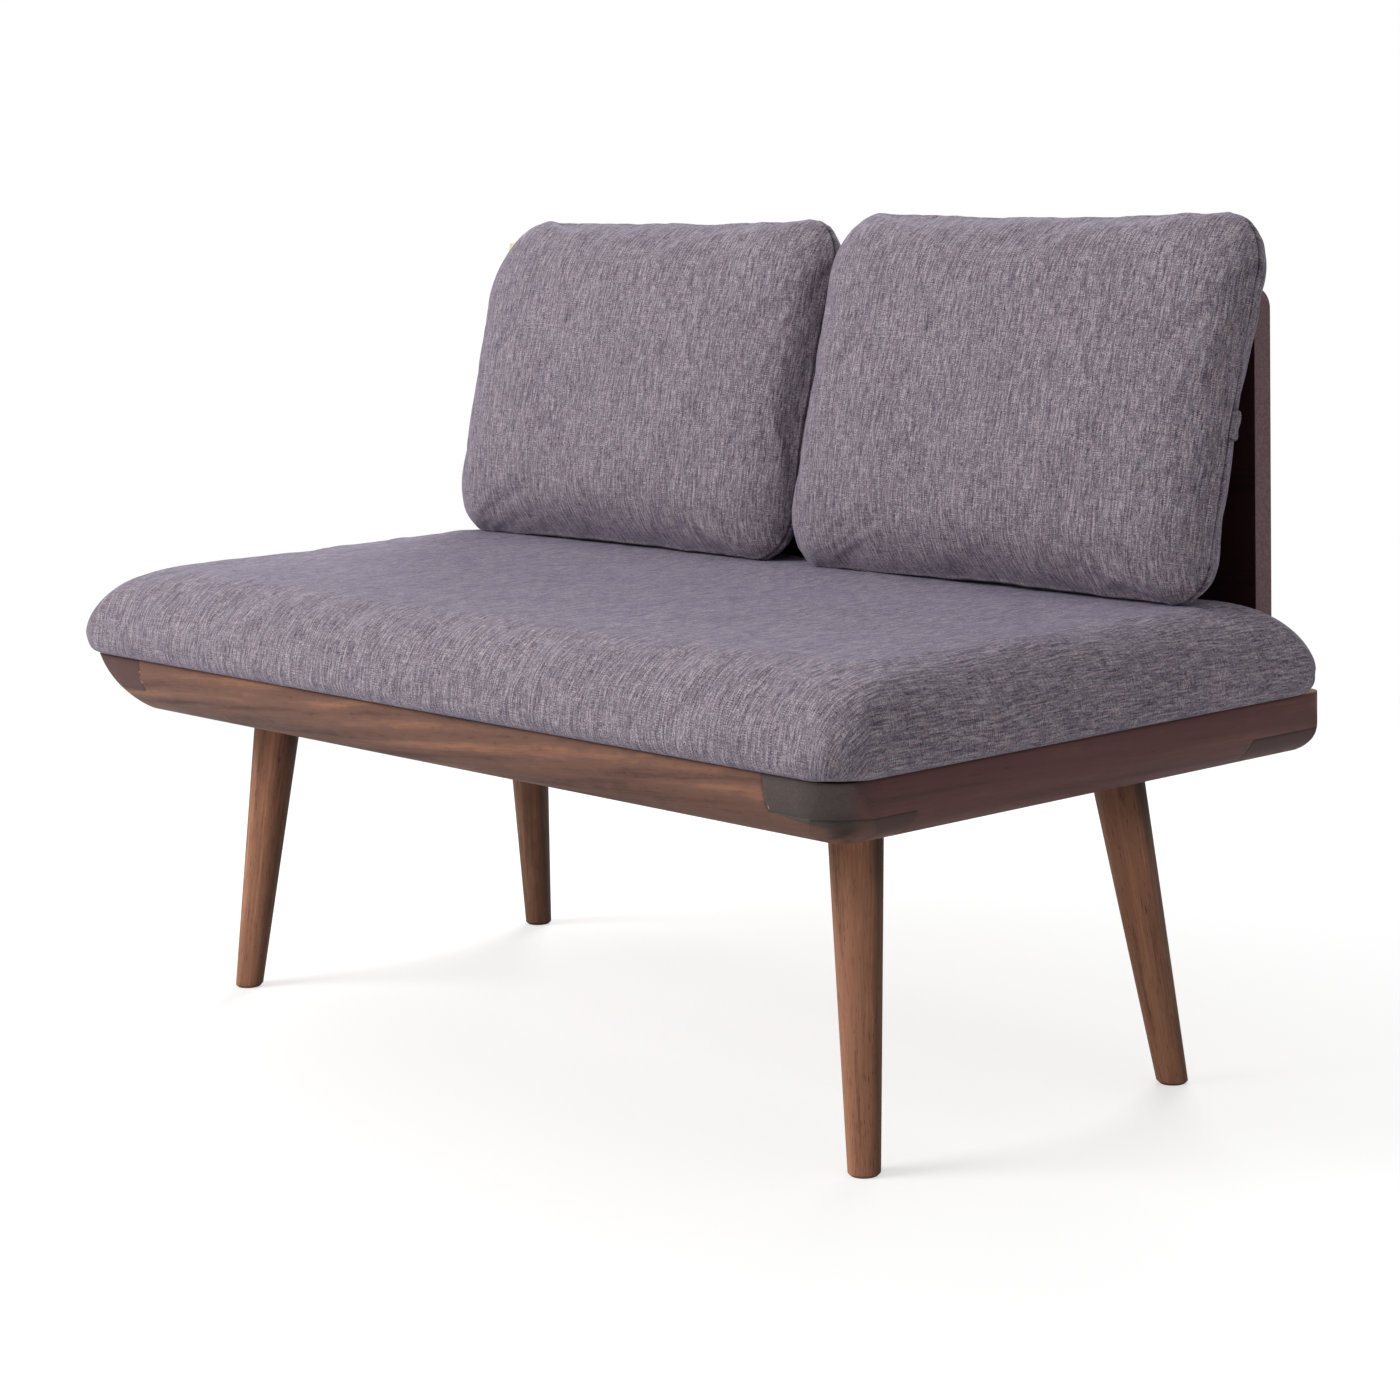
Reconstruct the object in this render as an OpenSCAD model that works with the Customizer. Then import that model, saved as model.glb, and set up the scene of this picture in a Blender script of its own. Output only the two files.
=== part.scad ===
/* [Base frame] */
// Length of the wooden base frame, end to end
frame_l = 1176; // [1000:1:1500]
// Depth of the wooden base frame, front to back
frame_d = 608; // [540:1:720]
// Height of the frame's top face above the floor
frame_top_h = 370; // [320:1:430]
// Height of the rails
rail_h = 63; // [56:1:75]
// Width of the rails, seen from above
rail_w = 94; // [88:1:120]
// Height of the straight band above the rounded underside
edge_band_h = 7; // [4:1:12]
// Thickness of the side rails' half of the corner lap joints
lap_h = 34; // [26:1:44]
// Distance of the corner ball's centre from both outer faces
corner_setback = 85; // [80:1:90]
// Radius of the ball that rounds each front corner
corner_ball_r = 120.5; // [118:0.5:123]
// Height of the corner ball's centre above the frame's top face
corner_ball_rise = 48; // [46:1:50]
// Radius of the upright rear corners
rear_corner_r = 20; // [4:1:24]

/* [Legs] */
// Diameter of a leg where it meets the frame
leg_top_d = 50; // [40:1:56]
// Diameter of a leg at the floor
leg_foot_d = 29; // [22:1:36]
// Distance from the frame's end to the top centre of a leg
leg_end_inset = 137; // [130:1:150]
// Distance from the frame's front to the top centre of a front leg
leg_front_inset = 143; // [130:1:150]
// Distance from the frame's back to the top centre of a rear leg
leg_rear_inset = 137; // [130:1:150]
// Sideways splay of a leg from top to floor
splay_side = 37; // [20:1:50]
// Splay of a leg to the front or back from top to floor
splay_front = 34; // [20:1:50]
// Bevel round the foot of a leg
foot_bevel = 2.5; // [1:0.5:4]

/* [Leg fixing] */
// Side of the square wooden blocks that carry the legs
leg_block_w = 100; // [90:1:120]
// Height of the leg blocks
leg_block_h = 42; // [32:1:52]
// Diameter of the hanger bolts
bolt_d = 8; // [6:1:10]
// Length of a hanger bolt inside the leg
bolt_leg_depth = 40; // [25:1:60]
// Outer diameter of the threaded inserts in the leg blocks
insert_d = 13; // [12:1:16]
// Length of the threaded inserts
insert_l = 25; // [15:1:30]

/* [Joinery] */
// Diameter of the wooden dowels in the corner laps
dowel_d = 10; // [8:1:12]
// Length of the wooden dowels
dowel_l = 34; // [26:1:36]
// Width of the two cross bearers
bearer_w = 60; // [40:1:80]
// Height of the cross bearers
bearer_h = 40; // [32:1:50]
// Distance between the centres of the cross bearers
bearer_spacing = 330; // [240:1:400]
// Length of the tenons on the cross bearers
tenon_l = 22; // [15:1:30]
// Shaft diameter of the wood screws
screw_d = 5; // [4:0.5:6]
// Head diameter of the wood screws
screw_head_d = 10; // [8:0.5:12]
// Height of the cone below the head of a wood screw
screw_head_h = 3.3; // [2.5:0.1:4]

/* [Back panel] */
// Distance from each end of the frame to the panel
panel_end_inset = 64.5; // [62:0.5:90]
// Thickness of the back panel
panel_t = 22; // [16:1:25]
// Height of the back panel above the frame's top face
panel_rise = 368; // [300:1:420]
// Depth of the rebate in the rear rail that the panel stands in
panel_seat_h = 45; // [30:1:52]
// Radius of the panel's top corners
panel_corner_r = 20; // [10:1:60]
// Radius of the panel's long top edges
panel_edge_r = 3; // [1:0.5:6]

/* [Seat pad] */
// Overhang of the seat pad beyond the frame's front and ends
pad_overhang = 13; // [6:0.5:20]
// Thickness of the seat pad above the frame, without its crown
pad_h = 85; // [70:1:110]
// Height of the pad's widest line above its underside
pad_wide_h = 19; // [14:1:26]
// Width of the soft roll along the pad's top edges
pad_roll_w = 74; // [60:1:110]
// Radius of the pad's corners, seen from above
pad_corner_r = 34; // [24:1:60]
// Rise of the pad's crown
pad_crown = 2.5; // [0:0.5:8]
// Thickness of the plywood seat board
board_t = 12; // [9:1:18]
// Thickness of the seat cover's cloth
cloth_t = 1.5; // [1:0.1:2.5]
// Height of the seat foam block
seat_foam_h = 54; // [40:1:56]

/* [Back cushions] */
// Width of one back cushion
cushion_w = 555; // [480:1:575]
// Height of one back cushion along its slope
cushion_h = 358; // [300:1:420]
// Depth of a cushion in front of its seam, at the edge roll
front_roll_h = 43; // [30:1:52]
// Depth of a cushion behind its seam, at the edge roll
rear_roll_h = 26; // [15:1:40]
// Extra depth at the middle of the front face
front_crown = 17; // [8:1:26]
// Extra depth at the middle of the rear face
rear_crown = 20; // [8:1:24]
// Radius of a cushion's corners
cushion_corner_r = 44; // [30:1:80]
// How far the middle of each cushion edge is drawn in
cushion_draw_in = 3; // [1:0.5:8]
// Angle at which the cushions lean back
cushion_lean = 14.5; // [8:0.5:18]
// Gap between the two cushions at their seams
cushion_gap = 9; // [4:1:30]
// Length of the zip in a cushion's lower seam
zip_l = 380; // [300:1:400]
// Width of the zip
zip_w = 6; // [5:1:10]
// Height of the small cloth tab on a cushion's side seam
tab_h = 26; // [20:1:30]
// Width of the cloth tab, from the seam to its fold
tab_w = 13; // [8:1:16]

/* [Hidden] */
$fn = 64;

// Overrun of every cut past the face that it opens
over = 1;
// Clearance round pieces that are glued or pushed into a bore
fit_clear = 0.1;
// Clearance between soft pieces and what they rest on
soft_gap = 0.3;
// Number of straight steps in one corner of a soft outline
corner_steps = 6;
// Number of straight steps along one side of a soft outline
side_steps = 6;

// Colours
wood_colour = [0.42, 0.29, 0.23];
end_wood_colour = [0.34, 0.27, 0.24];
raw_wood_colour = [0.78, 0.64, 0.47];
panel_colour = [0.22, 0.13, 0.12];
cloth_colour = [0.50, 0.46, 0.51];
foam_colour = [0.93, 0.89, 0.72];
steel_colour = [0.72, 0.72, 0.70];
zip_colour = [0.25, 0.24, 0.26];

// Places that follow from the sizes above
overall_d = frame_d + pad_overhang;
front_y = pad_overhang - overall_d / 2;
rear_y = front_y + frame_d;
half_l = frame_l / 2;
rail_bottom_h = frame_top_h - rail_h;
round_r = rail_h - edge_band_h;
lap_z = frame_top_h - lap_h;
inner_x = half_l - rail_w;
inner_front_y = front_y + rail_w;
inner_rear_y = rear_y - rail_w;

// Leg places: side, front or rear
leg_top_x = half_l - leg_end_inset;
leg_front_y = front_y + leg_front_inset;
leg_rear_y = rear_y - leg_rear_inset;
leg_run = sqrt(splay_side ^ 2 + splay_front ^ 2);
leg_tilt = atan(leg_run / rail_bottom_h);
leg_len = rail_bottom_h / cos(leg_tilt);
leg_turn = atan(splay_front / splay_side);

// Rebate and panel
panel_l = frame_l - 2 * panel_end_inset;
panel_front_y = rear_y - panel_t;
panel_bottom_h = frame_top_h - panel_seat_h;
panel_top_h = frame_top_h + panel_rise;
panel_screw_count = 5;
panel_screw_l = 50;
panel_screw_inset = 30;

// Corner dowels lie on the two far sides of each lap
dowel_near_share = 0.42;
dowel_far_share = 0.8;
dowel_z = lap_z - dowel_l / 2;

// Bearers
bearer_z = frame_top_h - bearer_h;
tenon_shoulder = 10;
tenon_h = bearer_h - 2 * tenon_shoulder;
tenon_w = bearer_w - 2 * tenon_shoulder;
tenon_z = bearer_z + tenon_shoulder;

// Leg bolts
bolt_top_clear = 4;
bolt_block_l = leg_block_h - bolt_top_clear;

// Block screws go level from each block into the two rails, at two heights
block_screw_l = 60;
block_screw_reach_share = 0.6;
block_screw_side_share = 0.85;
block_screw_low_share = 0.3;
block_screw_high_share = 0.7;
block_screw_reach = block_screw_reach_share * block_screw_l;
block_screw_side = block_screw_side_share * leg_block_w;

// Seat pad
pad_rear_gap = 0.5;
pad_l = frame_l + 2 * pad_overhang;
pad_front_y = front_y - pad_overhang;
pad_rear_y = panel_front_y - pad_rear_gap;
pad_d = pad_rear_y - pad_front_y;
pad_mid_y = (pad_rear_y + pad_front_y) / 2;
pad_top_h = frame_top_h + pad_h;
pad_under_roll_w = 15;
pad_rear_roll_share = 0.66;
board_inset = 22;
board_z = frame_top_h + cloth_t;
foam_z = board_z + board_t;
foam_inset = 44;
cover_hem = 45;

// Seat screws rise through the side rails and the bearers into the board
seat_screw_l = 30;
seat_screw_bite = 9;
seat_screw_tip_z = board_z + seat_screw_bite;
seat_screw_y_share = 0.28;
seat_screw_x_share = 0.8;
seat_screw_x = half_l - seat_screw_x_share * rail_w;

// Back cushions
front_roll_w = 42;
rear_roll_w = 28;
// Share of the pad's half depth at which the cushions stand, and how far the drawn-in
// edge has risen where its straight part ends
cushion_foot_share = 0.64;
cushion_lift = cushion_draw_in * (1 - (1 - 2 * cushion_corner_r / cushion_w) ^ 2) * cos(cushion_lean);
cushion_foot_z = pad_top_h + pad_crown * (1 - cushion_foot_share ^ 2) + soft_gap - cushion_lift;
cushion_x = (cushion_w + cushion_gap) / 2;
cushion_foam_inset = 30;
cushion_foam_front = 26;
cushion_foam_rear = 14;
zip_depth = 4;
zip_t = 2;
tab_t = 2.4;
tab_drop = 11;
tab_back = 2;

// Where the panel's top edge meets a cushion's rear face, measured up the cushion
lean_rise = panel_top_h - panel_edge_r - cushion_foot_z;
lean_reach = (lean_rise + (rear_roll_h + rear_crown / 2) * sin(cushion_lean)) / cos(cushion_lean);
lean_share = (lean_reach - cushion_h / 2) / (cushion_h / 2 - rear_roll_w);
lean_depth = rear_roll_h + rear_crown * (1 - lean_share ^ 2);
cushion_y = panel_front_y - soft_gap - lean_depth * cos(cushion_lean)
  - lean_reach * sin(cushion_lean);

// Soft closed forms: a stack of rounded outlines, closed by a fan at each end

// Rounded rectangle of half sizes hx and hy, drawn in at the middle of its sides
function soft_outline(hx, hy, r, draw_in) = [
  for (q = [0:3])
    let (
      sx = (q == 0 || q == 3) ? 1 : -1,
      sy = q < 2 ? 1 : -1,
      next_sx = q < 2 ? -1 : 1,
      next_sy = (q == 0 || q == 3) ? 1 : -1,
      corner = [sx * (hx - r), sy * (hy - r)],
      next_corner = [next_sx * (hx - r), next_sy * (hy - r)],
      out = [cos(90 * q + 90), sin(90 * q + 90)]
    )
    for (i = [0:corner_steps + side_steps - 1])
      let (
        a = 90 * q + 90 * min(i, corner_steps) / corner_steps,
        t = max(i - corner_steps, 0) / side_steps,
        p = i <= corner_steps
          ? corner + r * [cos(a), sin(a)]
          : corner + (next_corner - corner) * t + r * out
      )
      [
        p[0] * (1 - draw_in / hx * (1 - (p[1] / hy) ^ 2)),
        p[1] * (1 - draw_in / hy * (1 - (p[0] / hx) ^ 2))
      ]
];

// Steps of a soft form, [inset, level, crown, shrink], from the lower to the upper face
function soft_steps(low, high, low_w, high_w, low_crown, high_crown, bulge) = concat(
  [for (s = [0.34, 0.67]) [low_w, -low, -low_crown, s]],
  [for (a = [90, 60, 30]) [low_w * (1 - cos(a)), -low * sin(a), 0, 1]],
  [[0, 0, 0, 1]],
  [
    for (a = [15, 30, 45, 60, 75, 90])
      [high_w * (1 - cos(a) ^ bulge), high * sin(a) ^ bulge, 0, 1]
  ],
  [for (s = [0.8, 0.6, 0.4, 0.2]) [high_w, high, high_crown, s]]
);

module soft_form(size, corner_r, draw_in, low, high, low_w, high_w, low_crown, high_crown,
  bulge = 1, back_share = 1) {
  steps = soft_steps(low, high, low_w, high_w, low_crown, high_crown, bulge);
  n = 4 * (corner_steps + side_steps);
  rings = len(steps);
  points = concat(
    [[0, 0, -low - low_crown]],
    [
      for (k = steps)
        let (
          back = k[1] > 0 ? back_share : 1,
          hx = size[0] / 2 - k[0],
          hy = size[1] / 2 - k[0] * (1 + back) / 2,
          shift = k[0] * (1 - back) / 2,
          r = corner_r + k[0] / 3
        )
        for (p = soft_outline(hx, hy, r, draw_in) * k[3])
          [
            p[0],
            p[1] + shift,
            k[1] + k[2] * (1 - (p[0] / hx) ^ 2) * (1 - (p[1] / hy) ^ 2)
          ]
    ],
    [[0, 0, high + high_crown]]
  );
  last = len(points) - 1;
  faces = concat(
    [for (j = [0:n - 1]) [0, 1 + j, 1 + (j + 1) % n]],
    [
      for (i = [0:rings - 2], j = [0:n - 1], half = [0, 1])
        let (
          a = 1 + i * n + j,
          b = 1 + i * n + (j + 1) % n
        )
        half == 0 ? [a, a + n, b + n] : [a, b + n, b]
    ],
    [for (j = [0:n - 1]) [last, last - n + (j + 1) % n, last - n + j]]
  );
  polyhedron(points, faces);
}

// A block between two corners
module block(from, to) {
  translate(from)
    cube(to - from);
}

// A countersunk wood screw with its head at the origin and its point up
module wood_screw(length) {
  cylinder(h = screw_head_h, d1 = screw_head_d, d2 = screw_d);
  cylinder(h = length - screw_d, d = screw_d);
  translate([0, 0, length - screw_d])
    cylinder(h = screw_d, d1 = screw_d, d2 = screw_d / 5);
}

// The same screw with clearance, and a round pocket below its head
module screw_bore(length, pocket) {
  translate([0, 0, -pocket])
    cylinder(h = pocket, d = screw_head_d + 2 * fit_clear);
  cylinder(
    h = screw_head_h,
    d1 = screw_head_d + 2 * fit_clear,
    d2 = screw_d + 2 * fit_clear
  );
  cylinder(h = length + fit_clear, d = screw_d + 2 * fit_clear);
}

// Base frame

// Section of the frame from front to back: a round front edge and a flat back
module depth_section() {
  intersection() {
    union() {
      translate([front_y, frame_top_h - edge_band_h])
        square([frame_d, edge_band_h]);
      translate([front_y + round_r, rail_bottom_h])
        square([frame_d - round_r, round_r + over]);
      translate([front_y + round_r, frame_top_h - edge_band_h])
        circle(r = round_r);
    }
    translate([front_y, rail_bottom_h])
      square([frame_d, rail_h]);
  }
}

// Section of the frame from end to end: both edges are round
module length_section() {
  intersection() {
    union() {
      translate([-half_l, frame_top_h - edge_band_h])
        square([frame_l, edge_band_h]);
      translate([-half_l + round_r, rail_bottom_h])
        square([frame_l - 2 * round_r, round_r + over]);
      for (side = [-1, 1])
        translate([side * (half_l - round_r), frame_top_h - edge_band_h])
          circle(r = round_r);
    }
    translate([-half_l, rail_bottom_h])
      square([frame_l, rail_h]);
  }
}

// What the ball takes off a front corner: sharp at the top edge, full below
module front_corner_cut(side) {
  centre_x = side * (half_l - corner_setback);
  centre_y = front_y + corner_setback;
  far_x = side * (half_l + over);
  difference() {
    block(
      [min(centre_x, far_x), front_y - over, rail_bottom_h - over],
      [max(centre_x, far_x), centre_y, frame_top_h + over]
    );
    translate([centre_x, centre_y, frame_top_h + corner_ball_rise])
      sphere(r = corner_ball_r);
  }
}

// What is taken off an upright rear corner
module rear_corner_cut(side) {
  centre_x = side * (half_l - rear_corner_r);
  far_x = side * (half_l + over);
  difference() {
    block(
      [min(centre_x, far_x), rear_y - rear_corner_r, rail_bottom_h - over],
      [max(centre_x, far_x), rear_y + over, frame_top_h + over]
    );
    translate([centre_x, rear_y - rear_corner_r, rail_bottom_h - 2 * over])
      cylinder(h = rail_h + 4 * over, r = rear_corner_r);
  }
}

// Dowel places in one corner lap, as distances from the end and from the front or back
dowel_places = [
  [dowel_near_share * rail_w, dowel_far_share * rail_w],
  [dowel_far_share * rail_w, dowel_near_share * rail_w]
];

module at_dowels() {
  for (side = [-1, 1], rear = [0, 1], p = dowel_places)
    translate([
      side * (half_l - p[0]),
      rear == 1 ? rear_y - p[1] : front_y + p[1],
      dowel_z
    ])
      children();
}

module dowel_bores() {
  at_dowels()
    translate([0, 0, -fit_clear])
      cylinder(h = dowel_l + 2 * fit_clear, d = dowel_d + 2 * fit_clear);
}

// The long rails: whole below the lap line, between the side rails above it
module long_rail_shape(y0, y1) {
  intersection() {
    rotate([90, 0, 0])
      translate([0, 0, -y1])
        linear_extrude(height = y1 - y0)
          length_section();
    rotate([90, 0, 90])
      translate([0, 0, -half_l])
        linear_extrude(height = frame_l)
          depth_section();
    union() {
      block([-half_l, y0, rail_bottom_h], [half_l, y1, lap_z]);
      block([-inner_x, y0, lap_z - over], [inner_x, y1, frame_top_h]);
    }
  }
}

module front_rail() {
  color(wood_colour)
    difference() {
      long_rail_shape(front_y, inner_front_y);
      for (side = [-1, 1])
        front_corner_cut(side);
      dowel_bores();
      mortises();
      block_screw_bores();
    }
}

module rear_rail() {
  color(wood_colour)
    difference() {
      long_rail_shape(inner_rear_y, rear_y);
      for (side = [-1, 1])
        rear_corner_cut(side);
      block(
        [-panel_l / 2 - fit_clear, panel_front_y, panel_bottom_h],
        [panel_l / 2 + fit_clear, rear_y + over, frame_top_h + over]
      );
      dowel_bores();
      mortises();
      block_screw_bores();
      panel_screw_bores();
    }
}

// The side rails: whole above the lap line, between the long rails below it
module side_rail(side) {
  outer_x = side * half_l;
  near_x = side * inner_x;
  x0 = min(outer_x, near_x);
  x1 = max(outer_x, near_x);
  color(end_wood_colour)
    difference() {
      intersection() {
        rotate([90, 0, 90])
          translate([0, 0, x0])
            linear_extrude(height = rail_w)
              depth_section();
        rotate([90, 0, 0])
          translate([0, 0, -rear_y])
            linear_extrude(height = frame_d)
              length_section();
        union() {
          block([x0, front_y, lap_z], [x1, rear_y, frame_top_h]);
          block([x0, inner_front_y, rail_bottom_h], [x1, inner_rear_y, lap_z + over]);
        }
      }
      front_corner_cut(side);
      rear_corner_cut(side);
      block(
        [-panel_l / 2 - fit_clear, panel_front_y, panel_bottom_h],
        [panel_l / 2 + fit_clear, rear_y + over, frame_top_h + over]
      );
      dowel_bores();
      block_screw_bores();
      panel_screw_bores();
      seat_screw_bores();
    }
}

// Cross bearers, tenoned into the long rails
module bearer_tenons(clear) {
  for (side = [-1, 1])
    block(
      [
        side * bearer_spacing / 2 - tenon_w / 2 - clear,
        inner_front_y - tenon_l - clear,
        tenon_z - clear
      ],
      [
        side * bearer_spacing / 2 + tenon_w / 2 + clear,
        inner_rear_y + tenon_l + clear,
        tenon_z + tenon_h + clear
      ]
    );
}

module mortises() {
  bearer_tenons(fit_clear);
}

module cross_bearer(side) {
  mid_x = side * bearer_spacing / 2;
  color(raw_wood_colour)
    difference() {
      union() {
        block(
          [mid_x - bearer_w / 2, inner_front_y, bearer_z],
          [mid_x + bearer_w / 2, inner_rear_y, frame_top_h]
        );
        intersection() {
          bearer_tenons(0);
          block(
            [mid_x - bearer_w / 2, front_y, bearer_z],
            [mid_x + bearer_w / 2, rear_y, frame_top_h]
          );
        }
      }
      seat_screw_bores();
    }
}

// Legs and what holds them

module leg_block(side, rear) {
  x0 = side > 0 ? inner_x - leg_block_w : -inner_x;
  y0 = rear > 0 ? inner_rear_y - leg_block_w : inner_front_y;
  color(raw_wood_colour)
    difference() {
      block(
        [x0, y0, rail_bottom_h],
        [x0 + leg_block_w, y0 + leg_block_w, rail_bottom_h + leg_block_h]
      );
      at_leg(side, rear)
        translate([0, 0, rail_bottom_h - over])
          cylinder(h = leg_block_h + 2 * over, d = insert_d + 2 * fit_clear);
      block_screw_bores();
    }
}

// Moves its children from the origin to the top centre of one leg
module at_leg(side, rear) {
  translate([side * leg_top_x, rear > 0 ? leg_rear_y : leg_front_y, 0])
    children();
}

module leg(side, rear) {
  taper = (leg_top_d - leg_foot_d) / 2 / leg_len;
  foot_x = side * splay_side;
  foot_y = rear * splay_front;
  extra = leg_top_d;
  color(wood_colour)
    difference() {
      intersection() {
        at_leg(side, rear)
          translate([foot_x, foot_y, 0])
            rotate([0, 0, side > 0 ? rear * leg_turn : 180 - rear * leg_turn])
              rotate([0, -leg_tilt, 0])
                translate([0, 0, -extra])
                  cylinder(
                    h = leg_len + 2 * extra,
                    r1 = leg_foot_d / 2 - taper * extra,
                    r2 = leg_top_d / 2 + taper * extra
                  );
        at_leg(side, rear)
          translate([foot_x / 2 - leg_top_d - leg_run, foot_y / 2 - leg_top_d - leg_run, 0])
            cube([2 * (leg_top_d + leg_run), 2 * (leg_top_d + leg_run), rail_bottom_h]);
        at_leg(side, rear)
          translate([foot_x, foot_y, 0])
            cylinder(
              h = rail_bottom_h,
              r1 = leg_foot_d / 2 - foot_bevel,
              r2 = leg_foot_d / 2 - foot_bevel + rail_bottom_h
            );
      }
      at_leg(side, rear)
        translate([0, 0, rail_bottom_h - bolt_leg_depth - fit_clear])
          cylinder(h = bolt_leg_depth + fit_clear + over, d = bolt_d + 2 * fit_clear);
    }
}

module leg_bolts() {
  color(steel_colour)
    for (side = [-1, 1], rear = [-1, 1])
      at_leg(side, rear)
        translate([0, 0, rail_bottom_h - bolt_leg_depth])
          cylinder(h = bolt_leg_depth + bolt_block_l, d = bolt_d);
}

module leg_inserts() {
  color(steel_colour)
    for (side = [-1, 1], rear = [-1, 1])
      at_leg(side, rear)
        translate([0, 0, rail_bottom_h])
          difference() {
            cylinder(h = insert_l, d = insert_d);
            translate([0, 0, -over])
              cylinder(h = insert_l + 2 * over, d = bolt_d + 2 * fit_clear);
          }
}

module corner_dowels() {
  color(raw_wood_colour)
    at_dowels()
      cylinder(h = dowel_l, d = dowel_d);
}

// Moves its children to each block screw's head, with the screw's point along +Z
module at_block_screws() {
  for (side = [-1, 1], rear = [-1, 1]) {
    rail_y = rear > 0 ? inner_rear_y : inner_front_y;
    translate([
      side * (inner_x - block_screw_reach),
      rail_y - rear * block_screw_side,
      rail_bottom_h + block_screw_low_share * leg_block_h
    ])
      rotate([0, side * 90, 0])
        children();
    translate([
      side * (inner_x - block_screw_side),
      rail_y - rear * block_screw_reach,
      rail_bottom_h + block_screw_high_share * leg_block_h
    ])
      rotate([-rear * 90, 0, 0])
        children();
  }
}

module block_screw_bores() {
  at_block_screws()
    screw_bore(block_screw_l, leg_block_w);
}

module block_screws() {
  color(steel_colour)
    at_block_screws()
      wood_screw(block_screw_l);
}

// Back panel, standing in the rear rail's rebate

module at_panel_screws() {
  for (i = [0:panel_screw_count - 1])
    translate([
      (2 * i / (panel_screw_count - 1) - 1) * (inner_x - panel_screw_inset),
      rear_y,
      (panel_bottom_h + frame_top_h) / 2
    ])
      rotate([90, 0, 0])
        children();
}

module panel_screw_bores() {
  at_panel_screws()
    screw_bore(panel_screw_l, over);
}

module panel_screws() {
  color(steel_colour)
    at_panel_screws()
      wood_screw(panel_screw_l);
}

// Outline of the panel, with round top corners
module panel_outline() {
  translate([-panel_l / 2, panel_bottom_h])
    square([panel_l, panel_top_h - panel_bottom_h - panel_corner_r]);
  translate([-panel_l / 2 + panel_corner_r, panel_bottom_h])
    square([panel_l - 2 * panel_corner_r, panel_top_h - panel_bottom_h]);
  for (side = [-1, 1])
    translate([side * (panel_l / 2 - panel_corner_r), panel_top_h - panel_corner_r])
      circle(r = panel_corner_r);
}

// Section of the panel, with both long top edges rounded
module panel_section() {
  translate([panel_front_y, panel_bottom_h])
    square([panel_t, panel_top_h - panel_bottom_h - panel_edge_r]);
  translate([panel_front_y + panel_edge_r, panel_bottom_h])
    square([panel_t - 2 * panel_edge_r, panel_top_h - panel_bottom_h]);
  for (y = [panel_front_y + panel_edge_r, rear_y - panel_edge_r])
    translate([y, panel_top_h - panel_edge_r])
      circle(r = panel_edge_r);
}

module back_panel() {
  color(panel_colour)
    difference() {
      intersection() {
        rotate([90, 0, 0])
          translate([0, 0, -rear_y])
            linear_extrude(height = panel_t)
              panel_outline();
        rotate([90, 0, 90])
          translate([0, 0, -panel_l / 2])
            linear_extrude(height = panel_l)
              panel_section();
      }
      panel_screw_bores();
    }
}

// Seat pad

module at_seat_screws() {
  for (x = [-seat_screw_x, -bearer_spacing / 2, bearer_spacing / 2, seat_screw_x], y = [-1, 1])
    translate([x, pad_mid_y + y * seat_screw_y_share * frame_d, seat_screw_tip_z - seat_screw_l])
      children();
}

module seat_screw_bores() {
  at_seat_screws()
    screw_bore(seat_screw_l, rail_h);
}

module seat_screws() {
  color(steel_colour)
    at_seat_screws()
      wood_screw(seat_screw_l);
}

module seat_board() {
  color(raw_wood_colour)
    difference() {
      block(
        [-pad_l / 2 + board_inset, pad_front_y + board_inset, board_z],
        [pad_l / 2 - board_inset, pad_rear_y - board_inset, foam_z]
      );
      seat_screw_bores();
    }
}

module seat_foam() {
  color(foam_colour)
    block(
      [-pad_l / 2 + foam_inset, pad_front_y + foam_inset, foam_z],
      [pad_l / 2 - foam_inset, pad_rear_y - foam_inset, foam_z + seat_foam_h]
    );
}

// Cloth cover with its soft wrap, folded under the board and open below
module seat_cover() {
  color(cloth_colour)
    difference() {
      translate([0, pad_mid_y, frame_top_h + pad_wide_h])
        soft_form(
          size = [pad_l, pad_d],
          corner_r = pad_corner_r,
          draw_in = 0,
          low = pad_wide_h,
          high = pad_h - pad_wide_h,
          low_w = pad_under_roll_w,
          high_w = pad_roll_w,
          low_crown = 0,
          high_crown = pad_crown,
          bulge = 0.88,
          back_share = pad_rear_roll_share
        );
      block(
        [-pad_l / 2 + foam_inset, pad_front_y + foam_inset, foam_z - over],
        [pad_l / 2 - foam_inset, pad_rear_y - foam_inset, foam_z + seat_foam_h]
      );
      block(
        [-pad_l / 2 + board_inset, pad_front_y + board_inset, board_z],
        [pad_l / 2 - board_inset, pad_rear_y - board_inset, foam_z]
      );
      block(
        [-pad_l / 2 + board_inset + cover_hem, pad_front_y + board_inset + cover_hem, frame_top_h - over],
        [pad_l / 2 - board_inset - cover_hem, pad_rear_y - board_inset - cover_hem, board_z + over]
      );
    }
}

// Back cushions: modelled lying flat with the seam at level zero, then stood up and leant

module place_cushion(side) {
  translate([side * cushion_x, cushion_y, cushion_foot_z])
    rotate([90 - cushion_lean, 0, 0])
      translate([0, cushion_h / 2, 0])
        children();
}

module cushion_foam_block() {
  block(
    [-cushion_w / 2 + cushion_foam_inset, -cushion_h / 2 + cushion_foam_inset, -cushion_foam_rear],
    [cushion_w / 2 - cushion_foam_inset, cushion_h / 2 - cushion_foam_inset, cushion_foam_front]
  );
}

// Groove for the zip in the lower seam
module zip_groove() {
  block(
    [-zip_l / 2, -cushion_h / 2 - over, -zip_w / 2],
    [zip_l / 2, -cushion_h / 2 + cushion_draw_in + zip_depth, zip_w / 2]
  );
}

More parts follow.
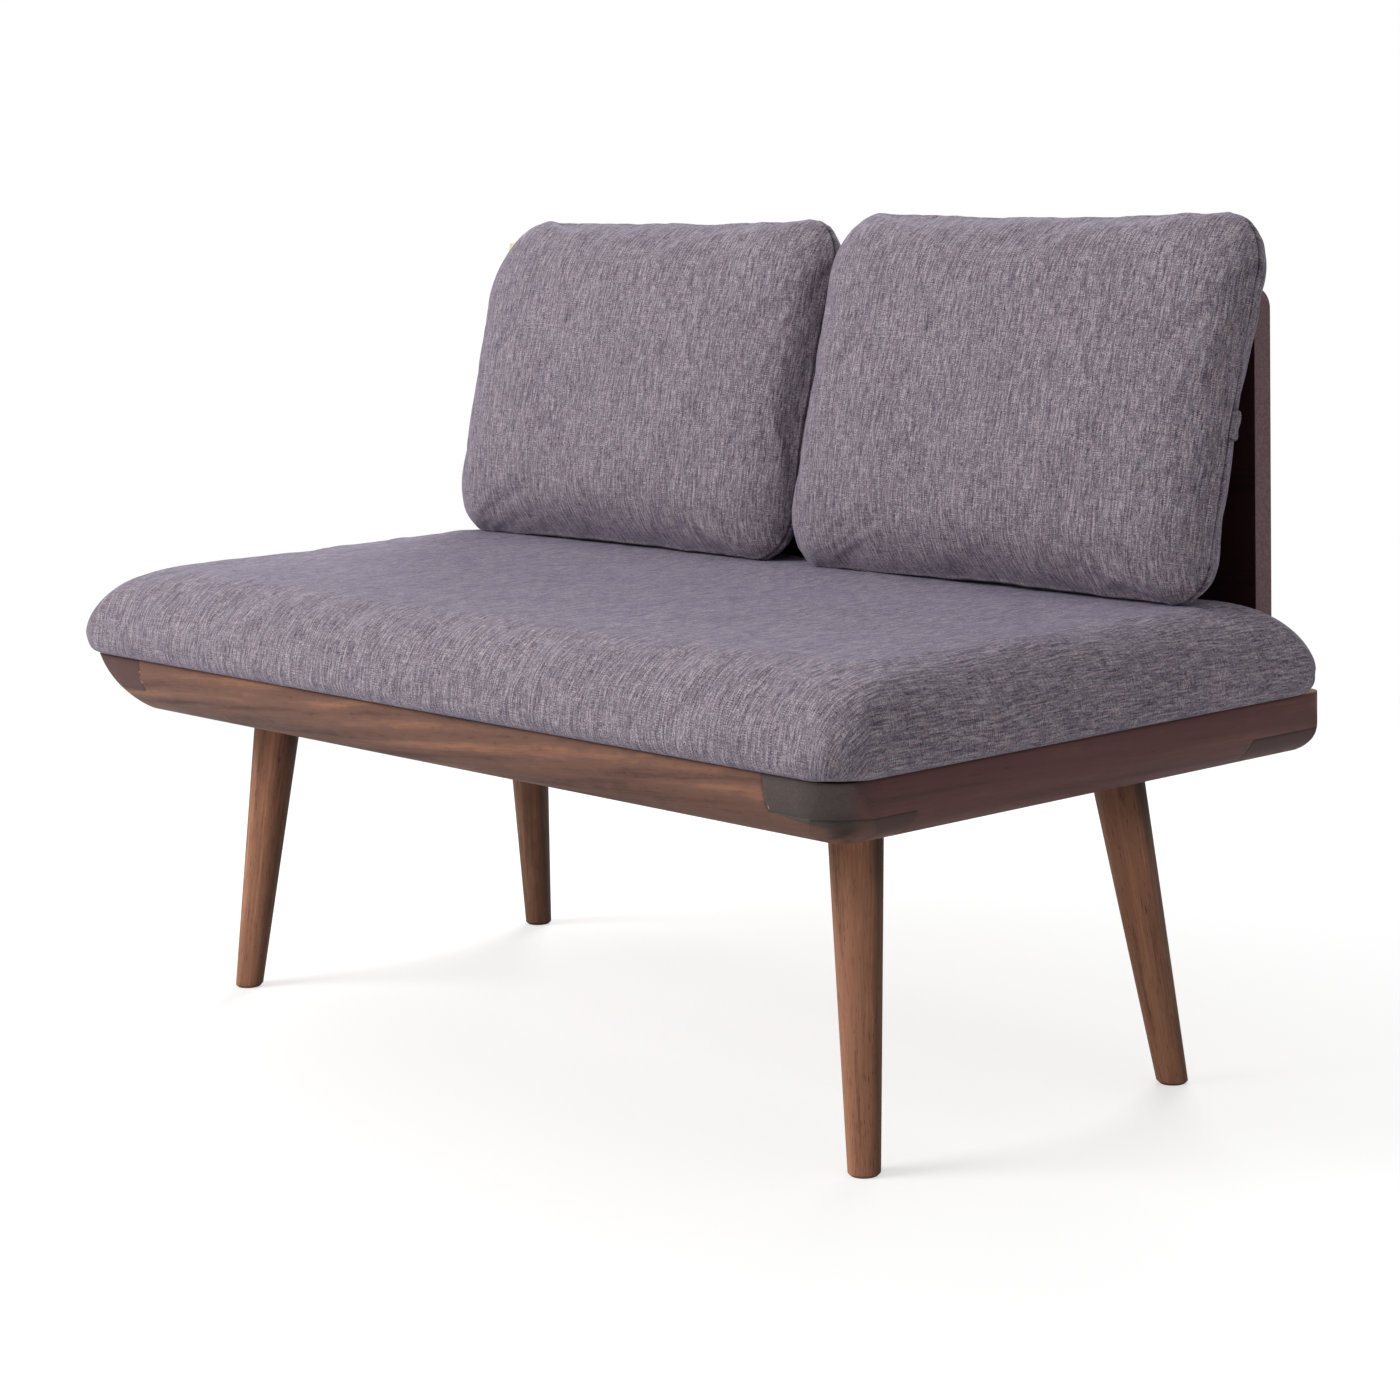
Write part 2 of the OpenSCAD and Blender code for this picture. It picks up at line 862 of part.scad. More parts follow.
module back_cushion_cover(side) {
  color(cloth_colour)
    place_cushion(side)
      difference() {
        soft_form(
          size = [cushion_w, cushion_h],
          corner_r = cushion_corner_r,
          draw_in = cushion_draw_in,
          low = rear_roll_h,
          high = front_roll_h,
          low_w = rear_roll_w,
          high_w = front_roll_w,
          low_crown = rear_crown,
          high_crown = front_crown
        );
        cushion_foam_block();
        zip_groove();
      }
}

module back_cushion_foam(side) {
  color(foam_colour)
    place_cushion(side)
      cushion_foam_block();
}

module back_cushion_zip(side) {
  color(zip_colour)
    place_cushion(side)
      block(
        [
          -zip_l / 2 + fit_clear,
          -cushion_h / 2 + cushion_draw_in + zip_depth - zip_t,
          -zip_w / 2 + fit_clear
        ],
        [
          zip_l / 2 - fit_clear,
          -cushion_h / 2 + cushion_draw_in + zip_depth,
          zip_w / 2 - fit_clear
        ]
      );
}

// Small folded cloth tab, sewn into the right side seam just below half height
module back_cushion_tab(side) {
  tab_x = cushion_w / 2 - cushion_draw_in;
  color(cloth_colour)
    place_cushion(side)
      block(
        [tab_x + soft_gap, -tab_drop - tab_h / 2, -tab_back],
        [tab_x + soft_gap + tab_t, -tab_drop + tab_h / 2, tab_w - tab_back]
      );
}

front_rail();
rear_rail();
side_rail(-1);  // side_rail_left
side_rail(1);  // side_rail_right
cross_bearer(-1);  // cross_bearer_left
cross_bearer(1);  // cross_bearer_right
leg_block(-1, -1);  // leg_block_front_left
leg_block(1, -1);  // leg_block_front_right
leg_block(-1, 1);  // leg_block_rear_left
leg_block(1, 1);  // leg_block_rear_right
leg(-1, -1);  // leg_front_left
leg(1, -1);  // leg_front_right
leg(-1, 1);  // leg_rear_left
leg(1, 1);  // leg_rear_right
leg_bolts();
leg_inserts();
corner_dowels();
block_screws();
back_panel();
panel_screws();
seat_board();
seat_screws();
seat_foam();
seat_cover();
back_cushion_cover(-1);  // back_cushion_left_cover
back_cushion_foam(-1);  // back_cushion_left_foam
back_cushion_zip(-1);  // back_cushion_left_zip
back_cushion_tab(-1);  // back_cushion_left_tab
back_cushion_cover(1);  // back_cushion_right_cover
back_cushion_foam(1);  // back_cushion_right_foam
back_cushion_zip(1);  // back_cushion_right_zip
back_cushion_tab(1);  // back_cushion_right_tab
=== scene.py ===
import math

import bmesh
import bpy
import numpy as np
from bpy.props import FloatProperty, FloatVectorProperty, PointerProperty
from mathutils import Matrix, Vector


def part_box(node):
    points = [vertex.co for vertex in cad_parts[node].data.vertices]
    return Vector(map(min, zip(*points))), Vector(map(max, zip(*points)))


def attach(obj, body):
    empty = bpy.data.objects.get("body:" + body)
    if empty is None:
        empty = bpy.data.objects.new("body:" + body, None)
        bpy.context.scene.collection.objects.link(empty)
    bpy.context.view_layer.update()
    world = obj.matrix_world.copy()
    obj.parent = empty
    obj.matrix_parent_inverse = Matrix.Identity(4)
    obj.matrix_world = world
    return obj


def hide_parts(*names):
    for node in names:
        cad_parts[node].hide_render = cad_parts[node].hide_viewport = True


bl_info = {
    "name": "Armless Sofa",
    "version": (1, 0, 0),
    "blender": (4, 5, 0),
    "location": "3D View > Sidebar > Sofa",
    "description": "Dresses the armless sofa: cloth, cushions, stained wood, fixings and stage",
    "category": "Object",
}

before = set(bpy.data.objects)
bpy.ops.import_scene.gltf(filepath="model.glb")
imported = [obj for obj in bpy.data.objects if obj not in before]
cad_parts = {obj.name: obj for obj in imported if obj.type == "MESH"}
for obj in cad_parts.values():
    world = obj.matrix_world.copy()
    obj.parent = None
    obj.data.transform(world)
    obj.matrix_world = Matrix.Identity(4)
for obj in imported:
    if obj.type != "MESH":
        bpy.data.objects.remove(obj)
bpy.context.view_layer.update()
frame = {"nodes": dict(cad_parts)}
NODES = frame["nodes"]


def paint(red, green, blue):
    """A colour given as screen values from 0 to 255, turned into the linear values that nodes use."""
    values = np.array([red, green, blue]) / 255
    return tuple(float(v) for v in np.where(values < 0.04045, values / 12.92, ((values + 0.055) / 1.055) ** 2.4))


def span(node):
    """The lowest and highest corner of a node of the frame, as two arrays."""
    low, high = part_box(node)
    return np.array(low), np.array(high)


def degrees(*values):
    """Angles given in degrees, turned into radians."""
    return tuple(math.radians(v) for v in values)


# Sizes and colours that a user may change


def length(name, text, default, low=0.0, high=2.0):
    return FloatProperty(name=name, description=text, default=default, min=low, max=high, unit="LENGTH", precision=4)


def amount(name, text, default, low=0.0, high=1.0):
    return FloatProperty(name=name, description=text, default=default, min=low, max=high)


def colour(name, text, *default):
    return FloatVectorProperty(name=name, description=text, default=paint(*default), min=0, max=1, subtype="COLOR")


class SofaCloth(bpy.types.PropertyGroup):
    light: colour("Light threads", "Colour of the lightest threads", 200, 189, 196)
    middle: colour("Middle threads", "Colour of most threads", 138, 129, 140)
    dark: colour("Dark threads", "Colour of the darkest threads", 80, 71, 88)
    warm: colour("Warm threads", "Tint that the warmer threads are multiplied by", 255, 236, 232)
    thread: length("Thread pitch", "Distance between neighbouring threads", 0.0011, 0.0005, 0.01)
    sheen: amount("Sheen", "How much the cloth brightens at a grazing view", 0.36)


class SofaWood(bpy.types.PropertyGroup):
    rail_light: colour("Rail highlights", "Lightest tone of the long rails", 176, 121, 90)
    rail: colour("Rail stain", "Main tone of the long rails", 131, 92, 77)
    rail_dark: colour("Rail streaks", "Darkest tone of the long rails", 82, 56, 52)
    side_light: colour("Side rail highlights", "Lightest tone of the side rails", 135, 89, 82)
    side: colour("Side rail stain", "Main tone of the side rails", 109, 70, 67)
    side_dark: colour("Side rail streaks", "Darkest tone of the side rails", 76, 54, 58)
    end_grain: colour("End grain", "Tone of the end grain at the right corner", 100, 87, 83)
    leg_light: colour("Leg highlights", "Lightest tone of the legs", 218, 160, 124)
    leg: colour("Leg stain", "Main tone of the legs", 174, 121, 93)
    leg_dark: colour("Leg streaks", "Darkest tone of the legs", 104, 68, 54)
    panel: colour("Panel stain", "Tone of the back panel's faces", 56, 28, 34)
    panel_edge: colour("Panel edge", "Tone of the back panel's ends", 142, 112, 120)
    raw: colour("Raw wood", "Tone of the hidden parts that carry no stain", 196, 160, 118)
    lap_height: length("Lap height", "Height of the lap joint's line at the corners", 0.336)
    joint_x: length("Joint place", "Distance of the upper joint line from the middle", 0.494)


class SofaCushion(bpy.types.PropertyGroup):
    width: length("Width", "Width of a back cushion", 0.555)
    height: length("Height", "Height of a back cushion along its slope", 0.358)
    front_depth: length("Front depth", "Depth in front of the widest line at the roll", 0.043)
    rear_depth: length("Rear depth", "Depth behind the widest line at the roll", 0.026)
    front_crown: length("Front crown", "Extra depth in the middle of the front", 0.017)
    rear_crown: length("Rear crown", "Extra depth in the middle of the back", 0.018)
    front_roll: length("Front roll", "Width of the rounded edge in front", 0.046)
    rear_roll: length("Rear roll", "Width of the rounded edge behind", 0.028)
    draw_in: length("Draw-in", "How far the middle of each edge is drawn in", 0.003)
    seam: length("Seam place", "Distance of the seam in front of the widest line", 0.003)
    gap: length("Gap", "Gap between the two cushions", 0.009)
    foot_y: length("Foot depth", "Depth of the cushions' lower edge in the frame", 0.1811)
    foot_z: length("Foot height", "Height of the cushions' lower edge", 0.4559)
    lean: FloatProperty(name="Lean", description="Angle at which the cushions lean back",
                        default=math.radians(14.5), subtype="ANGLE")


class SofaPad(bpy.types.PropertyGroup):
    widest: length("Widest height", "Height of the widest line above the underside", 0.0208)
    roll: length("Roll width", "Width of the rounded top edge", 0.060)
    rear_roll: length("Rear roll width", "Width of the rounded top edge at the back", 0.0736)
    under_roll: length("Under roll width", "Width of the rounded lower edge", 0.0189)
    droop: length("Droop", "How far the overhanging lower edge hangs past the rail's top", 0.003)
    front_corner: length("Front corner radius", "Radius of the front corners seen from above", 0.0334)
    rear_corner: length("Rear corner radius", "Radius of the rear corners seen from above", 0.012)
    power: amount("Roundness", "Power of the roll's curve: 1 is a quarter ellipse, less is squarer", 1.13, 0.5, 2)
    flank: amount("Rear fullness", "Share of the side rolls' width that is filled at the back", -0.094, -1, 1)


class SofaStage(bpy.types.PropertyGroup):
    floor: colour("Floor", "Colour of the floor", 205, 205, 205)
    glow: amount("Floor glow", "White that the camera sees added to the floor", 0.56)
    key_power: amount("Key light", "Power of the large soft light in front", 122, 0, 1000)
    back_power: amount("Back light", "Power of the large soft light behind", 90, 0, 1000)
    fill: amount("Fill light", "Strength of the even light all round", 0.41, 0, 10)


GROUPS = {"sofa_cloth": SofaCloth, "sofa_wood": SofaWood, "sofa_cushion": SofaCushion,
          "sofa_pad": SofaPad, "sofa_stage": SofaStage}


# Node trees


class Value:
    """One output of a node that reads like a number or a vector: each sum, product or method adds a node."""

    def __init__(self, graph, socket):
        self.graph, self.socket = graph, socket

    def __add__(self, other):
        return self.graph.math("ADD", self, other)

    def __sub__(self, other):
        return self.graph.math("SUBTRACT", self, other)

    def __rsub__(self, other):
        return self.graph.math("SUBTRACT", other, self)

    def __mul__(self, other):
        return self.graph.math("MULTIPLY", self, other)

    def __truediv__(self, other):
        return self.graph.math("DIVIDE", self, other)

    def __gt__(self, other):
        return self.graph.math("GREATER_THAN", self, other)

    def __lt__(self, other):
        return self.graph.math("LESS_THAN", self, other)

    def __abs__(self):
        return self.graph.math("ABSOLUTE", self)

    def at_least(self, low):
        return self.graph.math("MAXIMUM", self, low)

    def clamped(self):
        """Keeps the last node's result between 0 and 1."""
        self.socket.node.use_clamp = True
        return self

    def ramp(self, low, high, to_low=0.0, to_high=1.0):
        """A smooth step from to_low at low to to_high at high."""
        limits = {0: self, 1: low, 2: high, 3: to_low, 4: to_high}
        return self.graph.add("MapRange", limits, interpolation_type="SMOOTHSTEP")

    def split(self):
        node = self.graph.node("SeparateXYZ", {0: self})
        return [Value(self.graph, socket) for socket in node.outputs]

    def vector(self, operation, other=(0, 0, 0), third=(0, 0, 0), out=0):
        return self.graph.add("VectorMath", {0: self, 1: other, 2: third}, out, operation=operation)

    def dot(self, other):
        return self.vector("DOT_PRODUCT", other, out="Value")

    def noise(self, scale, detail=3.0, roughness=0.5, out="Fac"):
        """Soft noise from 0 to 1 on the vector times scale, which is one number or three."""
        at = self.vector("MULTIPLY", scale if isinstance(scale, tuple) else (scale,) * 3)
        return self.graph.add("TexNoise", {"Vector": at, "Scale": 1.0, "Detail": detail, "Roughness": roughness}, out)

    def swayed(self, scale, detail, reach):
        """The vector moved about softly, as far as reach."""
        return self.noise(scale, detail, out="Color").vector("MULTIPLY_ADD", reach, self)


class Graph:
    """Places and joins nodes in one tree."""

    def __init__(self, tree):
        self.tree = tree

    def node(self, kind, inputs=None, **settings):
        node = self.tree.nodes.new("ShaderNode" + kind)
        for key, value in settings.items():
            setattr(node, key, value)
        for key, value in (inputs or {}).items():
            self.feed(node.inputs[key], value)
        return node

    def add(self, kind, inputs=None, out=0, **settings):
        """One output of a new node, by its name or number."""
        return Value(self, self.node(kind, inputs, **settings).outputs[out])

    def feed(self, socket, value):
        if isinstance(value, Value):
            self.tree.links.new(value.socket, socket)
        elif socket.type == "RGBA" and len(value) == 3:
            socket.default_value = (*value, 1)
        else:
            socket.default_value = value

    def feed_all(self, sockets, values):
        """Feeds sockets by their names, with underscores for spaces."""
        for name, value in values.items():
            self.feed(sockets[name.replace("_", " ")], value)

    def named(self, node):
        return {socket.name: Value(self, socket) for socket in node.outputs}

    def math(self, operation, a, b=0.0):
        return self.add("Math", {0: a, 1: b}, operation=operation)

    def mix(self, share, a, b, blend="MIX"):
        return self.add("Mix", {0: share, 6: a, 7: b}, 2, data_type="RGBA", blend_type=blend)

    def tones(self, value, dark, middle, light):
        """Dark, middle and light tone as the value goes from 0 to 1."""
        return self.mix(value.ramp(0.5, 1.0), self.mix(value.ramp(0.0, 0.5), dark, middle), light)

    def xyz(self, x, y, z):
        return self.add("CombineXYZ", {0: x, 1: y, 2: z})

    def bevel(self, radius, samples):
        return self.add("Bevel", {"Radius": radius}, samples=samples)

    def bump(self, height, strength, distance, **more):
        return self.add("Bump", {"Strength": strength, "Distance": distance, "Height": height, **more})

    def camera_sees(self):
        """Two masks: rays from the camera, straight or through glass, and rays straight from the camera."""
        rays = self.named(self.node("LightPath"))
        return self.math("MAXIMUM", rays["Is Camera Ray"], rays["Is Transmission Ray"]), rays["Is Camera Ray"]


def clean_graph(block):
    """The emptied node tree of a material or world."""
    block.use_nodes = True
    block.node_tree.nodes.clear()
    return Graph(block.node_tree)


def begin_group(name, vectors, colours, numbers, outputs):
    """Makes a shader group; numbers maps names to default values, outputs names to kinds. Gives its graph, its inputs by
    name and its outputs."""
    tree = bpy.data.node_groups.new(name, "ShaderNodeTree")
    rows = [(text, "Vector", None) for text in vectors] + [(text, "Color", None) for text in colours]
    for text, kind, default in rows + [(text, "Float", default) for text, default in numbers.items()]:
        socket = tree.interface.new_socket(name=text, in_out="INPUT", socket_type="NodeSocket" + kind)
        if default is not None:
            socket.default_value = default
    for text, kind in outputs.items():
        tree.interface.new_socket(name=text, in_out="OUTPUT", socket_type="NodeSocket" + kind)
    g = Graph(tree)
    return g, g.named(tree.nodes.new("NodeGroupInput")), tree.nodes.new("NodeGroupOutput").inputs


def grain_group(name):
    """Solid wood with its grain along X: figure from growth rings that a slanted cut draws out, fine fibres, and short
    dark pores. Where the face is cut across the grain, the rings fade and the end tone takes over."""
    g, ins, outs = begin_group(name, ["Vector"], ["Light", "Middle", "Dark", "End"],
                               {"End Share": 0.0, "Figure": 0.5, "Fibre": 0.5, "Pores": 0.4},
                               {"Color": "Color", "Height": "Float", "Tone": "Float"})
    at = ins["Vector"]
    bent = at.swayed((2.2, 12, 12), 2.0, (0.0, 0.016, 0.016))
    wave = {"Vector": bent, "Scale": 17.0, "Distortion": 1.6, "Detail": 2.0, "Detail Scale": 3.0, "Detail Roughness": 0.6}
    rings = g.add("TexWave", wave, "Fac", wave_type="RINGS", rings_direction="X")
    fibre = bent.noise((9, 330, 330), 5.0, 0.65)
    streak = bent.noise((3.0, 75, 75), 3.0, 0.6)
    broad = at.noise((2.4, 16, 16), 2.0)
    pores = at.noise((55, 1300, 1300), 2.0, 0.6).ramp(0.60, 0.70)
    ringed = (rings - 0.5) * 0.45 + (streak - 0.5) * 1.5 + (broad - 0.5) * 1.7
    shown = ins["Figure"] * (1.0 - ins["End Share"])
    tone = (ringed * shown + (fibre - 0.5) * ins["Fibre"] + 0.5).clamped()
    long_colour = g.tones((tone - pores * ins["Pores"]).clamped(), ins["Dark"], ins["Middle"], ins["Light"])
    speck = at.noise((60, 420, 420), 4.0, 0.7).ramp(0.35, 0.65, 0.0, 0.35)
    both = g.mix(ins["End Share"], long_colour, g.mix(speck, ins["End"], ins["Dark"]))
    g.feed_all(outs, {"Color": both, "Height": fibre * 0.6 - pores, "Tone": tone})


def weave_group(name):
    """Heathered plain weave on coordinates in metres, warp along the second one. Every yarn has a tone of its own that
    drifts along it; warp and weft take turns on top where the product of two sines changes its sign, with dark gaps where
    it is near zero. Slubs, a fine grain, dark flecks and a slow drift between a warm and a cool thread lie over it."""
    g, ins, outs = begin_group(name, ["Vector"], ["Light", "Middle", "Dark", "Warm"], {"Thread": 0.0011, "Crease": 0.0},
                               {"Color": "Color", "Height": "Float"})
    at = ins["Vector"]
    soft = at.swayed(22, 1.0, (0.0016, 0.0016, 0.0))
    x, y, _ = soft.split()
    u, v = x / ins["Thread"], y / ins["Thread"]
    warp = g.xyz(g.math("FLOOR", u) * 3.7, y * 55.0, 2.3).noise(1, 2.0, 0.6)
    weft = g.xyz(x * 70.0, g.math("FLOOR", v) * 3.7, 9.6).noise(1, 2.0, 0.6)
    woven = g.math("SINE", u * math.pi) * g.math("SINE", v * math.pi)
    on_top = woven.ramp(-0.12, 0.12)
    slub = soft.noise((400, 90, 1), 2.0, 0.6)
    grain = at.noise((620, 420, 1), 2.0, 0.7)
    line = soft.noise((480, 22, 1), 1.0)
    flecks = soft.noise((430, 95, 3), 1.0).ramp(0.58, 0.68)
    cloud = at.noise((14, 9, 1), 2.0)
    tone = (warp - 0.5) * (on_top * 2.7) + (weft - 0.5) * ((1.0 - on_top) * 1.2)
    tone = tone + (slub - 0.5) * 0.7 + (grain - 0.5) * 1.5 + (line - 0.5) * 0.55 + (cloud - 0.5) * 0.16
    tone = (tone - abs(woven).ramp(0.2, 0.0) * 0.14 + 0.56 - flecks * 0.20).clamped()
    both = g.tones(tone, ins["Dark"], ins["Middle"], ins["Light"])
    warm = soft.noise((300, 60, 7), 1.0).ramp(0.42, 0.62)
    both = g.mix(warm * 0.45, both, g.mix(1.0, both, ins["Warm"], "MULTIPLY"))
    # Painted shade: the colour darkens inside narrow folds and openings by the input's share
    fold_shaded = g.mix(ins["Crease"], both, g.mix(1.0, both, (0.16, 0.14, 0.18), "MULTIPLY"))
    g.feed_all(outs, {"Color": fold_shaded, "Height": g.math("POWER", abs(woven), 0.5) * 0.35 + tone})


# Where the corners' rounding begins, from the middle along X and along Y
FLANK, FRONT = 0.533, 0.243


def joint_group(name):
    """Masks of the corner joints on coordinates in metres: a hairline down the upper joint, rare filler specks beside
    it, the patch of end grain that shows in front of it and fades round the corner, a darker patch low on the right
    front corner, and the right half."""
    masks = ("Line", "Filler", "Patch", "CornerDark", "Right")
    g, ins, outs = begin_group(name, ["Vector"], [], {"Joint X": 0.494, "Lap Z": 0.336, "Width": 0.0005},
                               dict.fromkeys(masks, "Float"))
    at = ins["Vector"]
    x, y, z = at.split()
    past = abs(x) - ins["Joint X"]
    above = (z > ins["Lap Z"]) * (abs(y) > 0.25)
    front, flank = (abs(y) - FRONT).at_least(0.0), (abs(x) - FLANK).at_least(0.0)
    turned = front / (front + flank + 0.0001)
    cloudy = (at.noise(45) - 0.5) * 0.35
    upper = (z - (ins["Lap Z"] - past * 0.13)).ramp(-0.0004, 0.0004)
    ahead = (turned + cloudy).ramp(0.22, 0.52) * (y < 0.0)
    corner = abs(turned - 0.5).ramp(0.36, 0.0) * past.ramp(0.03, 0.07) * (x > 0.0) * (y < 0.0)
    low = z.ramp(0.352, 0.330) * z.ramp(0.308, 0.322)
    g.feed_all(outs, {
        "Line": (abs(past) < ins["Width"]) * above,
        "Filler": at.noise(160, 2.0).ramp(0.60, 0.65) * (abs(past) < 0.0022) * above,
        "Patch": upper * ahead * (past > 0.0),
        "CornerDark": corner * low * (cloudy + 0.5).ramp(0.3, 0.6),
        "Right": x > 0.0,
    })


def eased_group(name):
    """Wear of eased edges: how far the rounded normal departs from the face's own normal, broken up by noise."""
    g, ins, outs = begin_group(name, ["Vector", "Rounded"], [], {"Amount": 1.0}, {"Mask": "Float"})
    turn = 1.0 - g.add("NewGeometry", out="Normal").dot(ins["Rounded"])
    broken = ins["Vector"].noise(60, 4.0, 0.6).ramp(0.35, 0.65, 0.25, 1.0)
    g.feed_all(outs, {"Mask": (turn.ramp(0.06, 0.22) * broken * ins["Amount"]).clamped()})


def turn_group(name):
    """Soft turn round the two front corners: the level part of the normal points away from a line inside the corner, so
    that it turns evenly from the front face to the side face; its upright part stays. Faces that look inwards keep their
    own normal."""
    g, ins, outs = begin_group(name, ["Vector", "Normal"], [], {}, {"Normal": "Vector"})
    normal = ins["Normal"]
    x, y, _ = ins["Vector"].split()
    flank, front = (abs(x) - FLANK).at_least(0.0), (y * -1.0 - (FRONT - 0.0005)).at_least(0.0)
    level = g.xyz(flank * g.math("SIGN", x), front * -1.0, 0.0).vector("NORMALIZE")
    upright = normal.split()[2]
    share = g.math("SQRT", (1.0 - upright * upright).at_least(0.0))
    level = g.add("VectorMath", {0: level, "Scale": share}, operation="SCALE")
    soft = level.vector("ADD", g.xyz(0.0, 0.0, upright))
    used = (flank > 0.0) * (front > 0.0) * (soft.dot(normal) > 0.5)
    g.feed_all(outs, {"Normal": g.add("Mix", {0: used, 4: normal, 5: soft}, 1, data_type="VECTOR")})


SHARED = {"Wood grain": grain_group, "Heathered weave": weave_group, "Corner joint": joint_group,
          "Edge wear": eased_group, "Corner turn": turn_group}


def place_group(g, name, **inputs):
    """Places a shared group, which is made at its first use. Gives its outputs by name."""
    if name not in bpy.data.node_groups:
        SHARED[name](name)
    node = g.node("Group", node_tree=bpy.data.node_groups[name])
    g.feed_all(node.inputs, inputs)
    return g.named(node)


# Materials


def begin_material(name, **values):
    """A material with one Principled BSDF; values are set on its own sockets. Gives the material, its graph, the shader's
    sockets and the place on the piece."""
    material = bpy.data.materials.new(name)
    g = clean_graph(material)
    shader = g.node("BsdfPrincipled")
    g.feed_all(shader.inputs, values)
    g.node("OutputMaterial", {"Surface": Value(g, shader.outputs[0])})
    return material, g, shader.inputs, g.add("TexCoord", out="Object")


def cloth_material():
    """Heathered upholstery cloth; it reads the piece's own UV map, which is in metres, and its own attribute of painted
    shade, which darkens the colour inside narrow folds and openings."""
    if "Heathered cloth" in bpy.data.materials:
        return bpy.data.materials["Heathered cloth"]
    cloth = bpy.context.scene.sofa_cloth
    material, g, shader, _ = begin_material("Heathered cloth", Roughness=0.85, Specular_IOR_Level=0.3, Sheen_Roughness=0.4,
                                            Sheen_Weight=cloth.sheen, Sheen_Tint=paint(196, 196, 240))
    weave = place_group(g, "Heathered weave", Vector=g.add("UVMap", uv_map="Cloth"), Thread=cloth.thread,
                        Light=cloth.light, Middle=cloth.middle, Dark=cloth.dark, Warm=cloth.warm,
                        Crease=g.add("Attribute", out="Fac", attribute_name="Crease"))
    g.feed_all(shader, {"Base Color": weave["Color"], "Normal": g.bump(weave["Height"], 0.3, 0.0005)})
    return material


# Level direction away from the key light, and the heights between which the painted shade under the frame deepens on a
# leg
AWAY_FROM_KEY = (0.64, 0.77, 0)
LEG_SHADE = (0.225, 0.312)


def wood_material(name, tones, end=None, turn=(0, 0, 0), shift=(0, 0, 0), across=None, joints=False, figure=0.55,
                  fibre=0.55, pores=0.3, roughness=0.5, wear=0.6, wear_tone=None, edge=0.0012, coat=0.08, top=None,
                  soft=None, away=None, stain=(1.0, 1.0)):
    """Stained wood with its grain turned onto the piece, eased edges, and optional end grain, corner patches, bare top
    and painted shade. tones are light, middle and dark; turn is in radians; soft is the width over which shallow bends
    blend;
    away is the side on which shade is painted darker, and stain is the share of the tone that the painted shade leaves
    low and high on a leg, which is least under the frame."""
    wood = bpy.context.scene.sofa_wood
    light, middle, dark = tones
    material, g, shader, here = begin_material(name, Specular_IOR_Level=0.3, Coat_Weight=coat, Coat_Roughness=0.35)
    turned = g.add("Mapping", {"Location": shift, "Rotation": turn, "Vector": here})
    normal = g.add("NewGeometry", out="Normal")
    end_share = 0.0 if across is None else abs(normal.dot(across)).ramp(0.3, 0.75)
    grain = place_group(g, "Wood grain", Vector=turned, Light=light, Middle=middle, Dark=dark, End=end or dark,
                        End_Share=end_share, Figure=figure, Fibre=fibre, Pores=pores)
    base = grain["Color"]
    rounded = g.bevel(edge, 4)
    worn = place_group(g, "Edge wear", Vector=here, Rounded=rounded, Amount=wear)["Mask"]
    if joints:
        joint = place_group(g, "Corner joint", Vector=here, Joint_X=wood.joint_x, Lap_Z=wood.lap_height)
        speck = here.noise((420, 60, 420), 4.0, 0.7).ramp(0.3, 0.7, 0.0, 0.4)
        patch = g.mix(speck, wood.end_grain, paint(62, 54, 52))
        patch = g.mix(joint["Right"], g.mix(0.35, base, paint(96, 76, 72)), patch)
        base = g.mix(joint["Patch"], base, patch)
        # A darker patch low on the right front corner
        base = g.mix(joint["CornerDark"] * 0.75, base, paint(46, 38, 38))
        base = g.mix(joint["Line"] * 0.25, base, paint(50, 36, 32))
        base = g.mix(joint["Filler"] * 0.85, base, paint(205, 172, 120))
    base = g.mix(worn, base, wear_tone or g.mix(0.5, base, light))
    if top is not None:
        up = rounded.split()[2].ramp(0.25, 0.8)
        bare = g.mix(here.noise(30).ramp(0.35, 0.65, 0.0, 0.5), top, g.mix(0.5, top, middle))
        base = g.mix(up, base, bare)
        g.feed(shader["Coat Weight"], up.ramp(0.0, 1.0, coat, 0.0))
    # Painted shade: darker on the side away from the key light, most where that side meets the frame, and darker under
    # the frame by the shares in stain
    if away is not None:
        side = normal.dot(away).ramp(0.12, 0.9)
        height = here.split()[2] + here.noise((40, 40, 12), 2.0) * 0.03
        both = side * height.ramp(*LEG_SHADE)
        painted_side_shade = side.ramp(0.0, 1.0, 1.0, 0.42) * both.ramp(0.0, 1.0, 1.0, 0.4)
        base = g.mix(1.0, base, painted_side_shade * height.ramp(*LEG_SHADE, *stain), "MULTIPLY")
    shine = grain["Tone"].ramp(0.0, 1.0, roughness + 0.12, roughness - 0.05)
    if soft is not None:
        rounded = place_group(g, "Corner turn", Vector=here, Normal=g.bevel(soft, 8))["Normal"]
    g.feed_all(shader, {"Base Color": base, "Roughness": shine if top is None else g.math("MAXIMUM", shine, up * 0.9),
                        "Normal": g.bump(grain["Height"], 0.35, 0.0003, Normal=rounded)})
    return material


